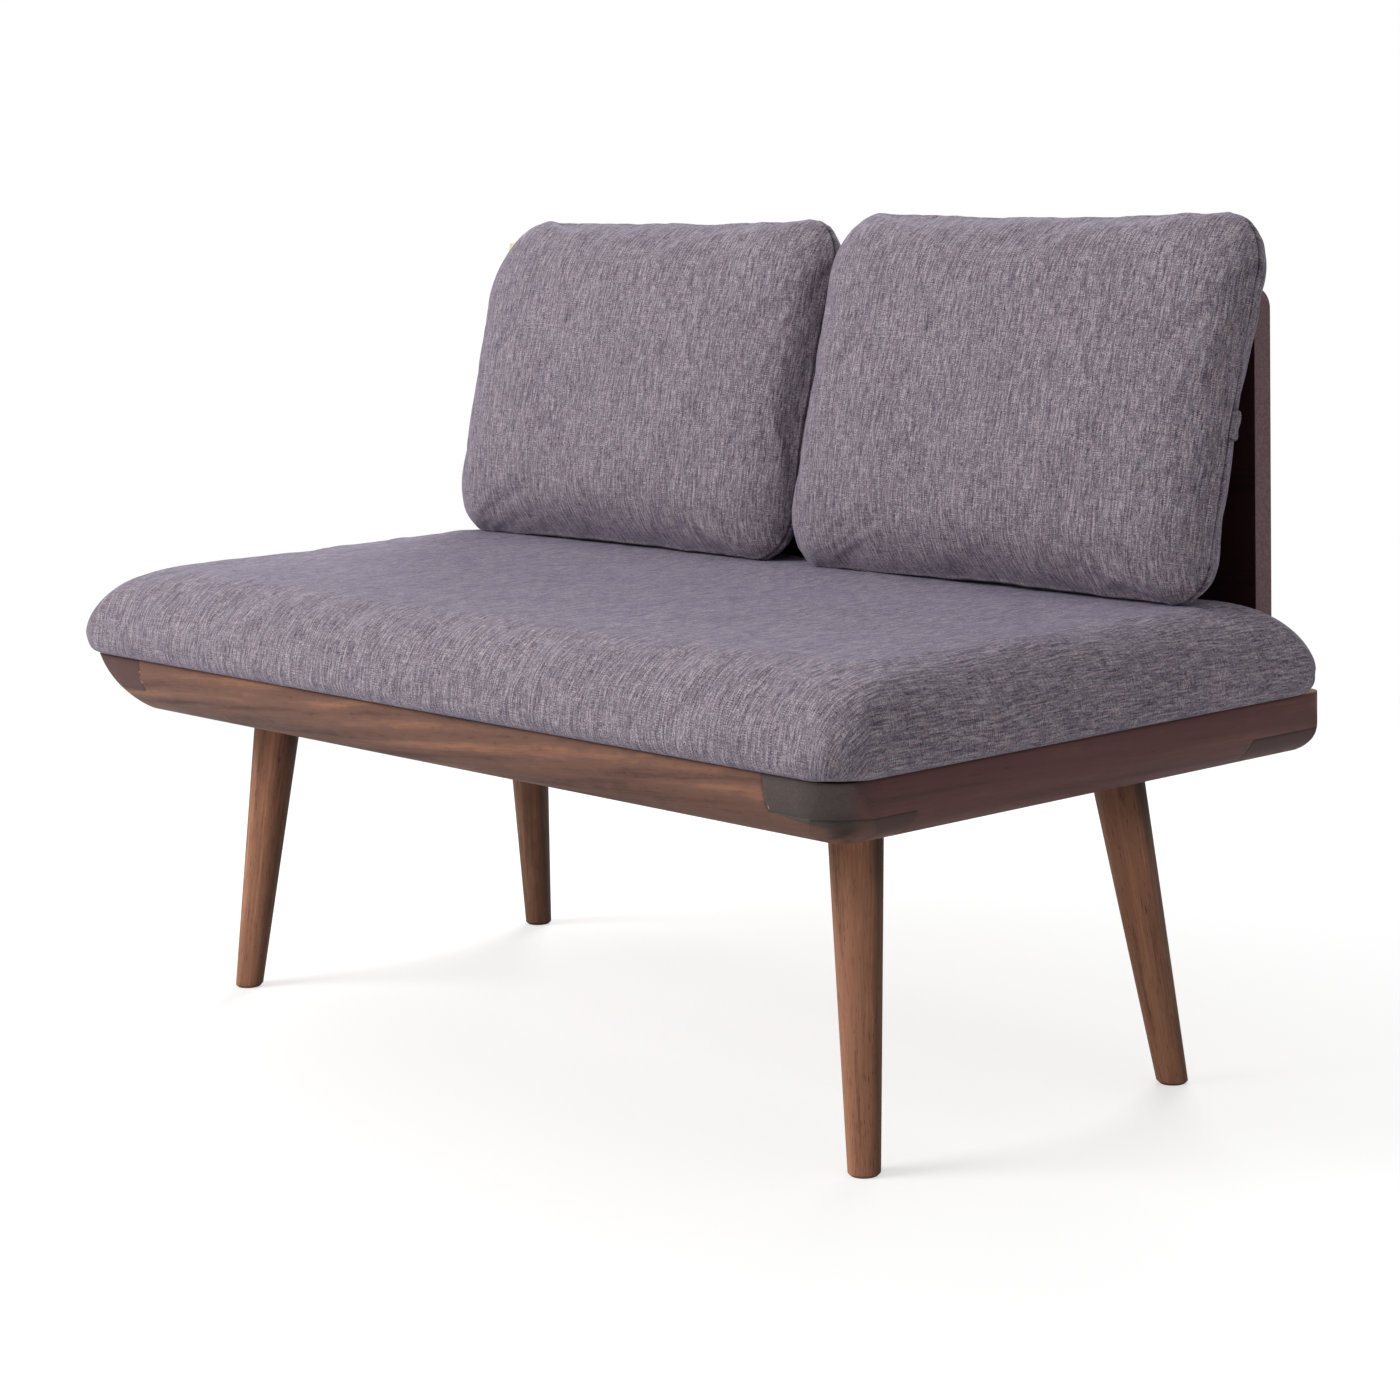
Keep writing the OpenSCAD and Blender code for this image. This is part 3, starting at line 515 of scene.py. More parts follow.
def ply_material():
    """Plywood: a light face veneer with its grain along X, and thin crossed layers on the edges."""
    raw = bpy.context.scene.sofa_wood.raw
    low, high = span("seat_board")
    material, g, shader, here = begin_material("Plywood", Roughness=0.7, Specular_IOR_Level=0.3)
    grain = place_group(g, "Wood grain", Vector=here, Light=raw, Middle=paint(186, 150, 108), Dark=paint(160, 122, 84),
                        End=raw, Figure=0.5, Fibre=0.5, Pores=0.2)
    up = abs(g.add("NewGeometry", out="Normal").split()[2])
    layers = g.math("FRACT", (here.split()[2] - float(low[2])) * (7 / (2 * float(high[2] - low[2]))))
    crossed = g.mix(layers > 0.5, paint(206, 172, 130), paint(140, 102, 70))
    g.feed_all(shader, {"Base Color": g.mix(up > 0.5, crossed, grain["Color"]),
                        "Normal": g.bump(grain["Height"], 0.3, 0.0003)})
    return material


def cloudy_material(name, scale, detail, tones, shine, **values):
    """A plain material whose colour and roughness drift with soft noise."""
    material, g, shader, here = begin_material(name, **values)
    cloud = here.noise(scale, detail, 0.6)
    g.feed_all(shader, {"Base Color": g.mix(cloud, *tones), "Roughness": cloud.ramp(0.2, 0.8, *shine)})
    return material


def steel_material():
    tones = (paint(148, 146, 138), paint(198, 196, 190))
    return cloudy_material("Zinc-plated steel", 180, 4.0, tones, (0.22, 0.42), Metallic=1.0)


def foam_material():
    """Open-cell upholstery foam."""
    material, g, shader, here = begin_material("Upholstery foam", Roughness=0.95)
    cells = g.add("TexVoronoi", {"Vector": here, "Scale": 700.0}, "Distance")
    g.feed_all(shader, {"Base Color": g.mix(cells, paint(226, 214, 170), paint(242, 234, 200)),
                        "Normal": g.bump(cells, 0.6, 0.0006)})
    return material


def zip_materials():
    """Woven zip tape, moulded teeth and the burnished slider."""
    tape, g, shader, here = begin_material("Zip tape", Roughness=0.85, Sheen_Weight=0.2)
    rib = g.add("TexWave", {"Vector": here, "Scale": 500.0, "Distortion": 0.4}, "Fac", bands_direction="X")
    g.feed_all(shader, {"Base Color": g.mix(rib, paint(70, 62, 72), paint(104, 94, 104)),
                        "Normal": g.bump(rib, 0.4, 0.0003)})
    tones = (paint(58, 50, 58), paint(88, 78, 88))
    teeth = cloudy_material("Zip teeth", 300, 3.0, tones, (0.3, 0.5), Specular_IOR_Level=0.5)
    tones = (paint(96, 92, 92), paint(150, 146, 144))
    metal = cloudy_material("Zip slider", 400, 4.0, tones, (0.25, 0.5), Metallic=1.0)
    return tape, teeth, metal


# Surfaces


def xyz(x, y, z):
    """Points from three coordinates, each one number or an array."""
    return np.stack(np.broadcast_arrays(x, y, z), -1)


def ring_count(grid):
    """Points in a ring with grid's steps on its long sides, short sides and corner arcs."""
    side_x, side_y, corner = grid
    return 2 * (side_x + side_y + 2 * corner)


def outline(half_x, half_y, radii, grid, draw=0.0, centre=(0.0, 0.0)):
    """Closed rounded rectangle as points and outward normals, with grid's steps on its long sides, short sides and corner
    arcs. It starts at the middle of the lower left arc and runs anticlockwise. A parabola draws the middles of the sides
    in."""
    side_x, side_y, corner = grid
    radii = np.minimum(radii, min(half_x, half_y) * 0.98)
    centres = np.array([[-1, -1], [1, -1], [1, 1], [-1, 1]]) * (np.array([half_x, half_y]) - radii[:, None])
    arc = np.linspace(0, np.pi / 2, corner + 1)
    points, normals = [], []
    for k, steps in enumerate((side_x, side_y, side_x, side_y)):
        a = np.radians((180, 270, 0, 90)[k]) + arc
        n = np.stack([np.cos(a), np.sin(a)], 1)
        turned = centres[k] + radii[k] * n
        end = centres[(k + 1) % 4] + radii[(k + 1) % 4] * n[-1]
        share = np.linspace(0, 1, steps + 1)[:-1, None]
        points += [turned[:-1], turned[-1] * (1 - share) + end * share]
        normals += [n[:-1], np.repeat(n[-1:], steps, 0)]
    points, normals = (np.roll(np.concatenate(part), -(corner // 2), 0) for part in (points, normals))
    x, y = points.T
    pulled_x = x * (1 - draw / half_x * (1 - (y / half_y) ** 2))
    pulled_y = y * (1 - draw / half_y * (1 - (x / half_x) ** 2))
    return np.stack([pulled_x, pulled_y], 1) + np.array(centre), normals


def ring_sides(ring, nx, ny):
    """The lower, right, upper and left side of a closed ring of 2 * (nx + ny) rows, each from its low end."""
    ring = np.concatenate([ring, ring[:1]])
    return ring[: nx + 1], ring[nx : nx + ny + 1], ring[nx + ny : 2 * nx + ny + 1][::-1], ring[2 * nx + ny :][::-1]


def cap_grid(ring, nx, ny):
    """Fills a closed ring of 2 * (nx + ny) points by a Coons patch: the blend of the two pairs of facing sides less the
    blend of the corners. Gives the grid's points, (nx + 1) by (ny + 1)."""
    low, right, top, left = ring_sides(ring, nx, ny)
    u = np.linspace(0, 1, nx + 1)[:, None, None]
    v = np.linspace(0, 1, ny + 1)[None, :, None]
    sides = (1 - v) * low[:, None] + v * top[:, None] + (1 - u) * left[None] + u * right[None]
    corners = (1 - u) * (1 - v) * low[0] + u * (1 - v) * low[-1] + u * v * top[-1] + (1 - u) * v * top[0]
    return sides - corners


def cap_index(first, nx, ny, next_free):
    """Vertex numbers of a cap's grid: its edge uses the ring from vertex `first` on, its inside those from next_free."""
    index = np.zeros((nx + 1, ny + 1), int)
    index[:, 0], index[nx], index[:, ny], index[0] = ring_sides(first + np.arange(2 * (nx + ny)), nx, ny)
    index[1:nx, 1:ny] = next_free + np.arange((nx - 1) * (ny - 1)).reshape(nx - 1, ny - 1)
    return index


def quads(index):
    """Faces of a grid of vertex numbers."""
    return np.stack([index[:-1, :-1], index[1:, :-1], index[1:, 1:], index[:-1, 1:]], -1).reshape(-1, 4)


def walls(rows, count):
    """Faces between closed rings of vertices that are stacked and numbered in order."""
    band = np.arange(rows * count).reshape(rows, count)
    return quads(np.concatenate([band, band[:, :1]], 1))[:, [0, 3, 2, 1]]


def closed_form(rings, flats, grid, split):
    """Closed surface from a stack of rings, lowest first, closed by a cap at each end. flats are two lists of the same
    rings unrolled flat, in metres: faces below ring number `split` read the first, the others the second. Gives points,
    faces and one flat coordinate per face corner."""
    nx, ny = grid[0] + grid[2], grid[1] + grid[2]
    rows, count, inner = len(rings), 2 * (nx + ny), (nx - 1) * (ny - 1)

    def inside(ring):
        return cap_grid(ring, nx, ny)[1:nx, 1:ny].reshape(inner, -1)

    points = np.concatenate([*rings, inside(rings[0]), inside(rings[-1])])
    low = cap_index(0, nx, ny, rows * count)
    high = cap_index((rows - 1) * count, nx, ny, rows * count + inner)
    faces = np.concatenate([quads(low)[:, ::-1], walls(rows, count), quads(high)])
    other_cap = np.zeros((inner, 2))
    flat_low = np.concatenate([*flats[0], inside(flats[0][0]), other_cap])
    flat_high = np.concatenate([*flats[1], other_cap, inside(flats[1][-1])])
    lower = np.arange(len(faces)) < nx * ny + split * count
    return points, faces, np.where(lower[:, None, None], flat_low[faces], flat_high[faces])


def unrolled(rings, normals, from_low):
    """Each ring's flat coordinates: along the edge as far as the ring itself reaches, and outwards from the cap's own
    ring by the length of the profile walked so far, so that the threads run straight over the rolls."""
    order = range(len(rings)) if from_low else range(len(rings))[::-1]
    start = rings[order[0]][:, :2]
    tangents = np.stack([-normals[:, 1], normals[:, 0]], 1)
    walked = np.zeros(len(start))
    flats = [start] * len(rings)
    for before, k in zip(order[:-1], order[1:]):
        step = rings[k] - rings[before]
        walked = walked + np.hypot(np.sum(step[:, :2] * normals, 1), step[:, 2])
        aside = np.sum((rings[k][:, :2] - start) * tangents, 1)
        flats[k] = start + normals * walked[:, None] + tangents * aside[:, None]
    return flats


def put_mesh(name, points, faces, uv=None, smooth=True):
    """A new object at the origin from arrays of points, four-cornered faces and flat coordinates per face corner."""
    mesh = bpy.data.meshes.new(name)
    mesh.vertices.add(len(points))
    mesh.vertices.foreach_set("co", np.asarray(points, np.float32).ravel())
    mesh.loops.add(faces.size)
    mesh.loops.foreach_set("vertex_index", faces.ravel().astype(np.int32))
    mesh.polygons.add(len(faces))
    mesh.polygons.foreach_set("loop_start", (np.arange(len(faces)) * faces.shape[1]).astype(np.int32))
    mesh.update(calc_edges=True)
    mesh.polygons.foreach_set("use_smooth", np.full(len(faces), smooth))
    if uv is not None:
        mesh.uv_layers.new(name="Cloth").data.foreach_set("uv", np.asarray(uv, np.float32).ravel())
    mesh.validate()
    obj = bpy.data.objects.new(name, mesh)
    bpy.context.scene.collection.objects.link(obj)
    return obj


def set_points(obj, points):
    obj.data.vertices.foreach_set("co", np.asarray(points, np.float32).ravel())
    obj.data.update()


def put_fold_shade(obj, values):
    """Stores on the piece how much shade is painted at each point, inside narrow folds and openings."""
    layer = obj.data.attributes.new("Crease", "FLOAT", "POINT")
    layer.data.foreach_set("value", np.asarray(values, np.float32))


def cover(obj):
    """Gives a surface of cloth its material and smooths it once more."""
    obj.data.materials.append(cloth_material())
    made = obj.modifiers.new("Smooth", "SUBSURF")
    made.levels = made.render_levels = 1


def outward(obj):
    """Turns the faces of closed pieces outwards."""
    mesh = bmesh.new()
    mesh.from_mesh(obj.data)
    bmesh.ops.recalc_face_normals(mesh, faces=mesh.faces)
    mesh.to_mesh(obj.data)
    mesh.free()


def small_piece(name, shape, material):
    """A new object from a shape's points and faces, with its material and its faces turned outwards."""
    obj = put_mesh(name, *shape)
    obj.data.materials.append(material)
    outward(obj)
    return obj


def strip(loops):
    """Closed strip through loops of points (rows, 2m, 3): walls between the loops and, at each end, quads between the two
    halves of the loop."""
    rows, count = loops.shape[:2]
    i = np.arange(count // 2 - 1)
    first = np.stack([i, count - 1 - i, count - 2 - i, i + 1], -1)
    last = first[:, [0, 3, 2, 1]] + (rows - 1) * count
    return loops.reshape(-1, 3), np.concatenate([walls(rows, count), first, last])


def many(shape, places):
    """The same small shape at many places: each place is a frame of three axes and an origin (n, 4, 3)."""
    shape_points, shape_faces = shape
    points = np.einsum("pk,nkc->npc", np.column_stack([shape_points, np.ones(len(shape_points))]), places)
    faces = shape_faces[None] + (np.arange(len(places)) * len(shape_points))[:, None, None]
    return points.reshape(-1, 3), faces.reshape(-1, 4)


def smooth_noise(positions, seed, length, octaves=3):
    """Sum of sine waves of random direction and phase, the first about `length` long; about -1 to 1."""
    rng = np.random.default_rng(seed)
    total = np.zeros(len(positions))
    weight = 0.0
    for k in range(octaves):
        for _ in range(5):
            d = rng.normal(size=positions.shape[1])
            d /= np.linalg.norm(d)
            f = 2 * np.pi / length * 1.9**k * rng.uniform(0.7, 1.3)
            total += np.sin(positions @ d * f + rng.uniform(0, 2 * np.pi)) * 0.6**k
            weight += 0.36**k / 2
    return total / (2 * math.sqrt(weight))


def vertex_normals(points, faces):
    """Area-weighted normals of a mesh of four-cornered faces."""
    a, b, c, d = (points[faces[:, k]] for k in range(4))
    n = np.cross(c - a, d - b)
    out = np.zeros_like(points)
    for k in range(4):
        np.add.at(out, faces[:, k], n)
    return out / np.maximum(np.linalg.norm(out, axis=1, keepdims=True), 1e-12)


def bell(distance, width):
    """Bell curve: 1 at no distance, nearly 0 beyond twice the width."""
    return np.exp(-((distance / width) ** 2))


def inflate(obj, pinned, pressure, slack, cap):
    """Swells a closed cover with cloth simulation: steady pressure, no gravity, cloth cut larger by the share `slack`,
    and the vertex numbers in `pinned` held. Each point then keeps within `cap` of where it was. Gives the moves."""
    rest = np.zeros(len(obj.data.vertices) * 3, np.float32)
    moved = rest.copy()
    obj.data.vertices.foreach_get("co", rest)
    group = obj.vertex_groups.new(name="Held")
    group.add([int(v) for v in pinned], 1.0, "REPLACE")
    cloth = obj.modifiers.new("Cloth", "CLOTH")
    s = cloth.settings
    s.quality, s.mass, s.use_pressure, s.uniform_pressure_force = 5, 0.3, True, pressure
    s.tension_stiffness = s.compression_stiffness = 15
    s.shear_stiffness, s.bending_stiffness = 8, 0.6
    s.shrink_min = -slack
    s.vertex_group_mass = "Held"
    s.effector_weights.gravity = 0
    cloth.collision_settings.use_collision = False
    scene = bpy.context.scene
    for f in range(1, 21):
        scene.frame_set(f)
    shaped = obj.evaluated_get(bpy.context.evaluated_depsgraph_get())
    shaped.data.vertices.foreach_get("co", moved)
    obj.modifiers.remove(cloth)
    obj.vertex_groups.remove(group)
    scene.frame_set(1)
    step = (moved - rest).reshape(-1, 3).astype(float)
    size = np.linalg.norm(step, axis=1, keepdims=True)
    return step * np.tanh(size / cap) * cap / np.maximum(size, 1e-9)


# Back cushions

# Steps of a cushion's long sides, short sides and corner arcs, and angles of its rings behind and in front of the seam
CUSHION_GRID = (58, 38, 20)
CUSHION_RING = ring_count(CUSHION_GRID)
REAR_ANGLES = (90, 80, 70, 60, 50, 40, 31, 23, 16, 10, 5.5, 2)
FRONT_ANGLES = (0, 0.95, 2.4, 4, 6, 8.5, 12, 16, 21, 27, 33, 40, 47, 54, 61, 68, 75)
SEAM_ROW = len(REAR_ANGLES) + 3
CUSHION_ROWS = SEAM_ROW + len(FRONT_ANGLES) + 1
# Each cushion has settled in its own way: corner radii from the lower left one anticlockwise, rise of the top edge, and
# soft moves as place (x, y), shift (x, y) and reach, all in metres.
SETTLED = {
    -1: ((0.046, 0.054, 0.048, 0.080), 0.0,
         ((0.09, 0.18, 0, -0.0026, 0.09), (-0.277, 0.06, -0.0025, 0, 0.08), (0.277, -0.03, -0.003, 0, 0.1))),
    1: ((0.046, 0.042, 0.054, 0.056), 0.0058,
        ((0.02, 0.18, 0, -0.0026, 0.1), (0.277, -0.08, -0.0026, 0, 0.085), (0.277, 0.04, -0.0015, 0, 0.04))),
}
# Least gap that a cushion keeps to the panel and to the pad
CLEAR = 0.0004


def cushion_surface(side):
    """Back cushion: rounded rectangles stacked from the rear face to the front one. Inset and level follow quarter
    ellipses behind and in front of the widest line, and a crown that is a product of two parabolas swells both faces."""
    c = bpy.context.scene.sofa_cushion
    corner_radii, rise, moves = SETTLED[side]
    front = np.append(math.asin(c.seam / c.front_depth) + np.radians(FRONT_ANGLES), math.pi / 2)
    rows = [(c.rear_roll * (1 - math.cos(a)), -c.rear_depth * math.sin(a)) for a in np.radians(REAR_ANGLES)]
    rows += [(0, 0), (0, c.seam - 0.0018), (0, c.seam - 0.0007)]
    rows += [(c.front_roll * (1 - math.cos(a)), c.front_depth * math.sin(a)) for a in front]
    half_x, half_y = c.width / 2, c.height / 2
    rings = []
    for inset, level in rows:
        flat, n = outline(half_x - inset, half_y - inset, np.array(corner_radii) + inset / 3, CUSHION_GRID, c.draw_in)
        rings.append(xyz(*flat.T, level))
    flats = [unrolled(rings, n, from_low) for from_low in (True, False)]
    points, faces, uv = closed_form(rings, flats, CUSHION_GRID, SEAM_ROW)
    x, y, z = points.T
    share = np.where(z > 0, z / c.front_depth, z / c.rear_depth)
    crown = np.where(z > 0, c.front_crown, c.rear_crown) * (1 - (x / half_x) ** 2) * (1 - (y / half_y) ** 2)
    points[:, 2] += crown * np.sign(share) * np.abs(share) ** 1.5
    points[:, 1] += rise * ((y / half_y + 1) / 2) ** 2
    for place_x, place_y, shift_x, shift_y, reach in moves:
        near = np.exp(-((x - place_x) ** 2 + (y - place_y) ** 2) / reach**2)
        points[:, :2] += np.outer(near, (shift_x, shift_y))
    return points, faces, uv


def drawn_back(points, moves):
    """The even part of the swelling, taken back so that the cushion keeps its measured depth: on each side the mean rise
    near the middle, times a product of two parabolas."""
    c = bpy.context.scene.sofa_cushion
    x, y, z = points.T
    profile = np.clip(1 - (x / c.width * 2) ** 2, 0, 1) * np.clip(1 - (y / c.height * 2) ** 2, 0, 1)
    back = np.zeros_like(points)
    for part in (z > 0, z < 0):
        middle = part & (profile > 0.9)
        back[part, 2] = profile[part] * moves[middle, 2].mean()
    return back


def cushion_rings(points):
    """A cushion's points without its caps' insides: its rings from the rear to the front."""
    return points[: CUSHION_ROWS * CUSHION_RING].reshape(CUSHION_ROWS, CUSHION_RING, 3)


def seam_places(points):
    """For every point: distance from the seam across it (positive in front, 1 away from the edge rings), and place along
    it; then the places of the seam's own points and its whole length."""
    rings = cushion_rings(points)
    seam = rings[SEAM_ROW]
    walked = np.cumsum(np.linalg.norm(np.diff(rings, axis=0), axis=2), 0)
    walked = np.concatenate([np.zeros((1, CUSHION_RING)), walked])
    walked = walked - walked[SEAM_ROW]
    steps = np.linalg.norm(np.roll(seam, -1, 0) - seam, axis=1)
    arc = np.concatenate([[0], np.cumsum(steps)[:-1]])
    distance, along = np.ones(len(points)), np.zeros(len(points))
    distance[: walked.size] = walked.ravel()
    along[: walked.size] = np.tile(arc, CUSHION_ROWS)
    return distance, along, arc, arc[-1] + steps[-1]


def dress_cushion(points, faces, side):
    """Adds to a filled cover its seam: a narrow groove between two lips, gathers across it that are strongest at the
    lower corners, long soft folds beside it, and the slight unevenness of the filling. Each is a sum of sine waves
    along the seam that fades away from it. Gives the points and how much shade is painted at each inside the seam's
    narrow fold."""
    side_x, side_y, corner = CUSHION_GRID
    distance, along, arc, total = seam_places(points)
    corners = np.cumsum([0, side_x + corner, side_y + corner, side_x + corner])
    at_corner = np.zeros(len(points))
    for k, strength in zip(corners, (0.8, 1.0, 0.35, 0.45)):
        at_corner += strength * bell(np.abs((along - arc[k] + total / 2) % total - total / 2), 0.04)
    rng = np.random.default_rng(31 + side)
    turn = along / total * 2 * np.pi
    gather = sum(np.sin(turn * f + rng.uniform(0, 6.28)) for f in (71, 88, 103, 127)) / 2.2
    long_wave = sum(np.sin(turn * f + rng.uniform(0, 6.28)) / f**0.3 for f in (7, 11, 17, 23)) / 1.6
    groove = -0.0026 * bell(distance, 0.0014)
    lips = 0.0009 * bell(np.abs(distance) - 0.0036, 0.0022)
    fade = np.exp(-np.abs(distance) / 0.011) * (1 - bell(distance, 0.003))
    puckers = gather * fade * (0.00022 + 0.0017 * at_corner)
    folds = long_wave * np.exp(-np.abs(distance) / 0.03) * 0.0009
    loose = smooth_noise(points, 5 + side, 0.16) * 0.0011 + smooth_noise(points, 9 + side, 0.05) * 0.00025
    moves = vertex_normals(points, faces) * (groove + lips + puckers + folds + loose)[:, None]
    # Painted shade in the seam's narrow fold, strongest on the seam itself
    return points + moves, bell(distance, 0.0010) * 0.85


def stand_cushion(points, side):
    """From a cushion lying flat with its seam level at zero to its place on the seat, leaning back."""
    c = bpy.context.scene.sofa_cushion
    sine, cosine = math.sin(math.pi / 2 - c.lean), math.cos(math.pi / 2 - c.lean)
    x, y, z = points[:, 0], points[:, 1] + c.height / 2, points[:, 2]
    return xyz(x + side * (c.width + c.gap) / 2, y * cosine - z * sine + c.foot_y, y * sine + z * cosine + c.foot_z)


def seam_frames(rings, wanted):
    """Frames along the seam at the ring places in `wanted`: along the seam, across it towards the front, outwards, and
    the place itself."""
    after, before = rings[SEAM_ROW + 3, wanted], rings[SEAM_ROW - 2, wanted]
    along = rings[SEAM_ROW, (wanted + 1) % CUSHION_RING] - rings[SEAM_ROW, wanted - 1]
    across = after - before
    along /= np.linalg.norm(along, axis=1, keepdims=True)
    across -= along * np.sum(along * across, 1, keepdims=True)
    across /= np.linalg.norm(across, axis=1, keepdims=True)
    return np.stack([along, across, np.cross(along, across), (after + before) / 2], 1)


def side_tab(rings, body, side):
    """A strip of the cover's cloth folded in two and sewn into the right side seam: a flattened loop carried along the
    seam, lying back over the side. Gives points, faces, flat coordinates and the shade painted at each point."""
    side_x, side_y, corner = CUSHION_GRID
    columns = corner // 2 + side_x + corner + np.arange(side_y)
    low, high = span(body + "_tab")
    stations = np.linspace(low[2] + 0.0005, high[2] - 0.0005, 13)
    at = np.interp(stations, rings[SEAM_ROW, columns, 2], np.arange(side_y))
    path = rings[SEAM_ROW + 1 : SEAM_ROW - 9 : -1][:, columns]
    k = at.astype(int)
    share = (at - k)[None, :, None]
    path = path[:, k] * (1 - share) + path[:, k + 1] * share
    walked = np.cumsum(np.linalg.norm(np.diff(path, axis=0), axis=2), 0)
    walked = np.concatenate([np.zeros((1, len(stations))), walked])
    # Section of the folded strip: how far back over the side, and how high above it, out and back again
    s_out = np.array([0.0, 0.0012, 0.0026, 0.005, 0.008, 0.0105, 0.0122, 0.0131])
    h_out = np.array([-0.0008, 0.0014, 0.0030, 0.0046, 0.0058, 0.0062, 0.0058, 0.0044])
    s_in = s_out[::-1] + np.array([-0.0003, -0.0002, 0, 0, 0, 0.0002, 0.0004, 0])
    h_in = np.array([0.0028, 0.0034, 0.0034, 0.0028, 0.0018, 0.0009, 0.0000, -0.0016])
    s, h = np.concatenate([s_out, s_in]), np.concatenate([h_out, h_in])
    loops = []
    for n in range(len(stations)):
        edge = 1 - abs(n / (len(stations) - 1) * 2 - 1) ** 8 * 0.45
        wave = 1 + 0.10 * math.sin(n * 0.9 + side)
        place = np.stack([np.interp(s, walked[:, n], path[:, n, c]) for c in range(3)], 1)
        place[:, 0] += h * np.where(h > 0, edge * wave, 1)
        loops.append(place)
    points, faces = strip(np.array(loops))
    flat = np.stack([np.tile(np.concatenate([s_out, 0.02 - s_in]), len(stations)), np.repeat(stations, len(s))], 1)
    # Painted shade at the loop's open ends and along its folded edges
    fold_shade = np.zeros((len(stations), len(s)))
    fold_shade[[0, -1]] = 0.75
    fold_shade[:, 0] = fold_shade[:, -1] = 0.8
    return points, faces, flat[faces], fold_shade.ravel()


def zip_frames(rings, body):
    """Frames at even places along the foot seam, as far as the zip reaches."""
    side_x, _, corner = CUSHION_GRID
    low, high = span(body + "_zip")
    frames = seam_frames(rings, corner // 2 + np.arange(side_x + 1))
    at = np.linspace(low[0], high[0], 190)
    axes = [[np.interp(at, frames[:, 3, 0], frames[:, a, c]) for c in range(3)] for a in range(4)]
    return np.moveaxis(np.array(axes), 2, 0)


def tape_shape(frames):
    """The zip's tape, slightly domed, carried along every sixth frame."""
    half = 0.0034
    top = [[-half, -0.0005], [-half * 0.4, -0.0002], [half * 0.4, -0.0002], [half, -0.0005]]
    profile = np.array([*top, [half, -0.0012], [-half, -0.0012]])
    return strip(frames[::6, None, 3] + np.einsum("pk,nkc->npc", profile, frames[::6, 1:3]))


def teeth_shape(frames):
    """A row of teeth that stand to the one and the other side of the frames in turn."""
    ring = np.array([[-1.0, -0.3], [-0.6, 0.55], [0.6, 0.55], [1.0, -0.3]])
    sections = ((-0.0006, 0.0011), (0, 0.0014), (0.0006, 0.0011))
    tooth = [xyz(place, ring[:, 0] * w, ring[:, 1] * 0.0009 + 0.0001) for place, w in sections]
    frames = frames.copy()
    frames[::2, 3] += frames[::2, 1] * 0.0004
    frames[1::2, 3] -= frames[1::2, 1] * 0.0004
    return many(strip(np.array(tooth)), frames)


def slider_shape(frame):
    """The slider, a flat-bottomed arch that narrows to both ends, with its pull lying along the tape."""
    a = np.linspace(0, np.pi, 7)
    across, out = np.cos(a)[::-1], np.sin(a)[::-1]
    arches = zip((-1, -0.9, -0.5, 0.2, 0.75, 1.0), (0.0016, 0.0024, 0.0030, 0.0033, 0.0030, 0.0018),
                 (0.0004, 0.0009, 0.0012, 0.0012, 0.0010, 0.0004))
    arch = [xyz(k * 0.0042, np.concatenate([across, across[::-1]]) * w, np.concatenate([out * h, np.full(7, -0.0004)]))
            for k, w, h in arches]
    t = np.linspace(0, 1, 8)
    widths = 0.0016 + 0.0006 * np.sin(t * np.pi) + 0.0004 * t
    section = np.array([0.0018, 0.0018, 0.0012, 0.0012])
    pull = [xyz(0.002 + k * 0.017, np.array([-w, w, w, -w]), section - 0.0009 * min(1, k * 4)) for k, w in zip(t, widths)]
    points, faces = strip(np.array(arch))
    pull_points, pull_faces = strip(np.array(pull))
    both = np.concatenate([points, pull_points]), np.concatenate([faces, pull_faces + len(points)])
    return many(both, frame[None])


# Seat pad

# Steps of the pad's long sides, short sides and corner arcs, and angles of its rings under and over the widest line
PAD_GRID = (96, 42, 18)
PAD_RING = ring_count(PAD_GRID)
UNDER_ANGLES = (84, 70, 55, 40, 26, 13)
OVER_ANGLES = (0, 4, 8, 12, 17, 22, 28, 34, 40, 46, 52, 58, 64, 70, 76, 82, 90)
HEM_ROWS = 6


def pad_unevenness(points):
    """Soft unevenness of the seat's top in metres: two sums of long sine waves."""
    return smooth_noise(points[:, :2], 3, 0.3) * 0.0011 + smooth_noise(points[:, :2], 4, 0.09) * 0.0003


def pad_top(places):
    """Height of the pad's top at places in plan, away from its rolls."""
    return span("seat_cover")[1][2] + pad_unevenness(places)


